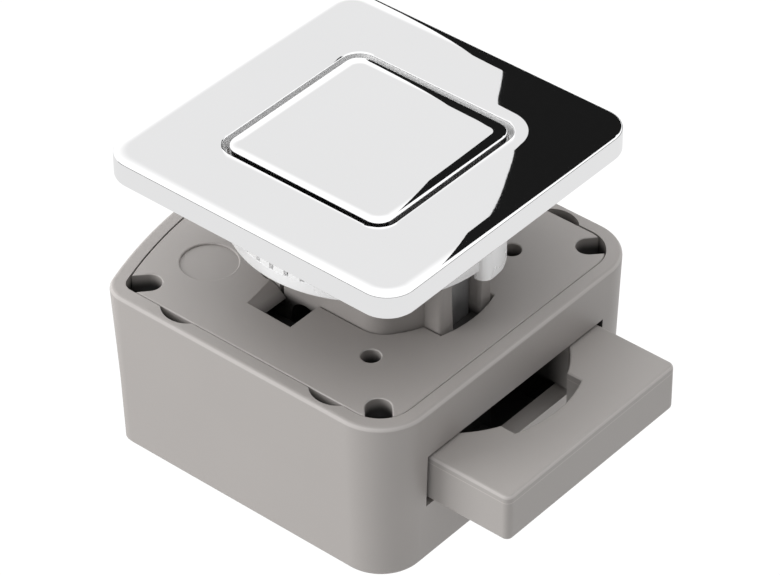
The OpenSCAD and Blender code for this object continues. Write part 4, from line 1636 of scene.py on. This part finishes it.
@dataclass
class Studio:
    """The floor, the lights, the dark card that the chrome mirrors and the camera."""

    floor_z: float = -0.0288
    floor_gap: float = 0.0001
    floor_glow: tuple[tuple[str, float], ...] = (
        ("floor_seen", 1.05), ("floor_mirrored", 0.84), ("floor_bounce", 0.90),
    )
    sky_ring: tuple[float, ...] = (0.10, 0.04, 1.02, 1.50, 1.05, 0.50, 0.04, 0.28)
    sky_top: float = 1.52
    key_power: float = 5.8
    image: tuple[int, int] = (780, 575)
    sensor: float = 36.0
    clip: Pair = (0.01, 20.0)
    focal_px: float = 4083.018
    azimuth: float = 40.393
    elevation: float = 38.632
    roll: float = -0.32
    distance: float = 0.603015
    aim: Pair = (0.002931, -0.003502)
    plate_z: float = 0.0233
    card_z: float = 0.42
    card_steps: int = 5
    felt: Pair = (0.012, 0.95)
    cloth_rough: float = 0.9
    screen_gap: float = 0.01
    screen_half: float = 1.8
    floor_half: float = 4.0
    band_r: float = 1.2
    band_z: Pair = (0.03, 0.42)
    band_turn: Pair = (-150.0, 282.0)
    band_steps: int = 60
    sky_rise: Pair = (0.45, 0.95)
    key_place: Triple = (-0.57, -0.71, 0.27)
    key_size: float = 0.5
    screen_glow: Pair = (0.87, 1.2)
    screen_spot: Pair = (-0.351, 0.4136)
    screen_reach: Pair = (0.08, 0.15)
    card_edge: tuple[Pair, ...] = (
        (495, 60), (503, 68), (501, 85), (497.5, 105), (506, 125), (513, 145),
        (513, 156), (507.5, 175), (499, 200), (487, 222), (472, 238),
    )
    card_far: tuple[Pair, ...] = (
        (592, 450), (900, 330), (1150, 60), (1000, -500), (480, -500),
        (488, -280), (507, -230), (515, -160), (510, -90), (497, -20), (482, 35),
    )

    def axes(self) -> tuple[Vector, Vector, Vector]:
        """Returns the camera's right, up and back directions."""
        az, el = math.radians(self.azimuth), math.radians(self.elevation)
        right = Vector((math.cos(az), math.sin(az), 0))
        back = Vector((math.cos(el) * math.sin(az), -math.cos(el) * math.cos(az), math.sin(el)))
        return right, back.cross(right), back

    def rolled(self) -> tuple[Vector, Vector]:
        """Returns the right and up directions with the camera's roll."""
        right, up, _ = self.axes()
        turn = math.radians(self.roll)
        return (
            math.cos(turn) * right + math.sin(turn) * up,
            math.cos(turn) * up - math.sin(turn) * right,
        )

    def eye(self) -> Vector:
        """Returns the camera's place."""
        right, up, back = self.axes()
        return self.aim[0] * right + self.aim[1] * up + self.distance * back

    def camera(self) -> None:
        """Adds the camera at the photograph's viewing angle."""
        right, up = self.rolled()
        back = self.axes()[2]
        data = bpy.data.cameras.new("camera")
        data.sensor_width = self.sensor
        data.lens = self.focal_px * self.sensor / self.image[0]
        data.clip_start, data.clip_end = self.clip
        made = bpy.data.objects.new("camera", data)
        turn = Matrix((right, up, back)).transposed().to_4x4()
        made.matrix_world = Matrix.Translation(self.eye()) @ turn
        bpy.context.scene.collection.objects.link(made)
        bpy.context.scene.camera = made

    def on_plate(self, pixel: Pair) -> Vector:
        """Returns the point of the plate's upper face that a pixel shows."""
        right, up = self.rolled()
        back = self.axes()[2]
        eye = self.eye()
        ray = (
            (pixel[0] - self.image[0] / 2) / self.focal_px * right
            - (pixel[1] - self.image[1] / 2) / self.focal_px * up
            - back
        )
        return eye + ray * ((self.plate_z - eye.z) / ray.z)

    def card(self) -> bpy.types.Object:
        """Builds the dark card, cut so that the chrome mirrors its edge as in the photograph."""
        eye = self.eye()
        mirrored = Vector((eye.x, eye.y, 2 * self.plate_z - eye.z))
        rise = (self.card_z - mirrored.z) / (self.plate_z - mirrored.z)
        pixels = smooth_line(self.card_edge, self.card_steps) + list(self.card_far)
        outline = [mirrored + (self.on_plate(pixel) - mirrored) * rise for pixel in pixels]
        mesh = bpy.data.meshes.new("dark_card")
        mesh.from_pydata(outline, [], [list(range(len(outline)))])
        return new_object("dark_card", mesh)

    @staticmethod
    def sheet(name: str, half: float, z: float) -> bpy.types.Object:
        """Builds a level square sheet round the axis."""
        corners = [(-half, -half, z), (half, -half, z), (half, half, z), (-half, half, z)]
        mesh = bpy.data.meshes.new(name)
        mesh.from_pydata(corners, [], [(0, 1, 2, 3)])
        return new_object(name, mesh)

    def screen(self) -> bpy.types.Object:
        """Builds the bright screen that the chrome mirrors, dimmer where its flats look."""
        z = self.card_z + self.screen_gap
        made = self.sheet("bright_screen", self.screen_half, z)
        cloth = self.plain("screen_cloth", 0.0, self.cloth_rough)
        tree = cloth.node_tree
        place = add_node(tree, "ShaderNodeTexCoord")
        away = add_node(
            tree, "ShaderNodeVectorMath",
            {0: place.outputs["Object"], 1: (*self.screen_spot, z)}, operation="DISTANCE",
        )
        (near, far), (dim, bright) = self.screen_reach, self.screen_glow
        glow = add_node(
            tree, "ShaderNodeMapRange",
            {"Value": away.outputs["Value"], "From Min": near, "From Max": far,
             "To Min": dim, "To Max": bright},
            interpolation_type="SMOOTHSTEP",
        )
        shader = tree.nodes["Principled BSDF"]
        tree.links.new(glow.outputs["Result"], shader.inputs["Emission Strength"])
        made.data.materials.append(cloth)
        return made

    def sky(self) -> bpy.types.World:
        """Builds the world light, which differs round the compass and overhead."""
        world = bpy.data.worlds.new("soft_box")
        world.use_nodes = True
        tree = world.node_tree
        place = add_node(tree, "ShaderNodeTexCoord").outputs["Generated"]
        split = add_node(tree, "ShaderNodeSeparateXYZ", {"Vector": place}).outputs

        def calculated(operation: str, *values: object) -> bpy.types.NodeSocket:
            """Returns the result of a Math node."""
            given = dict(enumerate(values))
            return add_node(tree, "ShaderNodeMath", given, operation=operation).outputs["Value"]

        turn = calculated("ARCTAN2", split["Y"], split["X"])
        around = calculated("FRACT", calculated("MULTIPLY_ADD", turn, 0.5 / math.pi, 1.0))
        ring = add_node(tree, "ShaderNodeValToRGB", {"Fac": around})
        count = len(self.sky_ring)
        stops = ring.color_ramp.elements
        stops[0].position, stops[1].position = 0.0, 1.0
        for i in range(1, count):
            stops.new(i / count)
        for i, stop in enumerate(stops):
            light = self.sky_ring[i % count]
            stop.color = (light, light, light, 1)
        start, end = self.sky_rise
        height = add_node(
            tree, "ShaderNodeMapRange",
            {"Value": split["Z"], "From Min": start, "From Max": end},
            interpolation_type="SMOOTHSTEP",
        )
        top = (self.sky_top, self.sky_top, self.sky_top, 1)
        blend = add_node(
            tree, "ShaderNodeMix",
            {0: height.outputs["Result"], 6: ring.outputs["Color"], 7: top}, data_type="RGBA",
        )
        tree.links.new(blend.outputs[2], tree.nodes["Background"].inputs["Color"])
        return world

    def band(self) -> bpy.types.Object:
        """Builds the dark strip low round the studio that the chrome's roundings mirror."""
        points = []
        first, sweep = self.band_turn
        for i in range(self.band_steps + 1):
            a = math.radians(first + sweep * i / self.band_steps)
            points += [
                (self.band_r * math.cos(a), self.band_r * math.sin(a), z) for z in self.band_z
            ]
        faces = [(2 * i, 2 * i + 2, 2 * i + 3, 2 * i + 1) for i in range(self.band_steps)]
        mesh = bpy.data.meshes.new("dark_band")
        mesh.from_pydata(points, [], faces)
        return new_object("dark_band", mesh)

    @staticmethod
    def plain(
        name: str, color: float, roughness: float, glow: float = 0.0
    ) -> bpy.types.Material:
        """Returns a plain grey material for the studio's own pieces."""
        made = bpy.data.materials.new(name)
        made.use_nodes = True
        shader = made.node_tree.nodes["Principled BSDF"]
        for label, value in (
            ("Base Color", (color, color, color, 1)), ("Roughness", roughness),
            ("Specular IOR Level", 0.0), ("Emission Color", (1, 1, 1, 1)),
            ("Emission Strength", glow),
        ):
            shader.inputs[label].default_value = value
        return made

    def floors(self) -> list[bpy.types.Object]:
        """Builds the floor: what the camera sees, what metal mirrors and what lights from below.

        Returns:
            The three sheets, one just above the other.
        """
        made = []
        for i, (name, glow) in enumerate(self.floor_glow):
            sheet = self.sheet(name, self.floor_half, self.floor_z - self.floor_gap * i)
            paper = self.plain(name + "_paper", 0.0, self.cloth_rough, glow)
            sheet.data.materials.append(paper)
            sheet.visible_camera = i == 0
            sheet.visible_glossy = i == 1
            sheet.visible_diffuse = i == 2
            sheet.visible_shadow = False
            made.append(sheet)
        return made

    def lamp(
        self, name: str, place: Triple, size: float, power: float
    ) -> None:
        """Adds a soft square lamp that faces the lock.

        Args:
            name: The lamp's name.
            place: Its place in metres.
            size: Its side in metres.
            power: Its power in watts.
        """
        data = bpy.data.lights.new(name, "AREA")
        data.shape = "SQUARE"
        data.size = size
        data.energy = power
        made = bpy.data.objects.new(name, data)
        made.location = place
        made.visible_glossy = False
        made.rotation_euler = (-Vector(place)).to_track_quat("-Z", "Y").to_euler()
        bpy.context.scene.collection.objects.link(made)

    def build(self) -> None:
        """Builds the studio."""
        scene = bpy.context.scene
        scene.view_settings.view_transform = "Standard"
        scene.world = self.sky()
        card, screen, band = self.card(), self.screen(), self.band()
        for sheet, name in ((card, "card_felt"), (band, "band_felt")):
            sheet.data.materials.append(self.plain(name, *self.felt))
        for sheet in (card, screen, band):
            sheet.visible_diffuse = False
            sheet.visible_camera = False
            sheet.visible_shadow = False
        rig.stage(*self.floors(), card, screen, band)
        self.lamp("key", self.key_place, self.key_size, self.key_power)
        self.camera()


def main() -> None:
    """Builds the lock and its studio, and reports each piece."""
    logging.basicConfig(level=logging.INFO, format="%(name)s: %(message)s", stream=sys.stdout)
    palette = Palette()
    Rosette().build(palette)
    Button().build(palette)
    Case().build(palette)
    Bolt().build(palette)
    Springs().build(palette)
    Studio().build()
    boxes = {
        "cad": [list(corner) for corner in CAD_BOX],
        "visual": [list(corner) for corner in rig.bounds()],
    }
    with open("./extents.json", "w", encoding="utf-8") as out:
        json.dump(boxes, out)


if __name__ == "__main__":
    main()
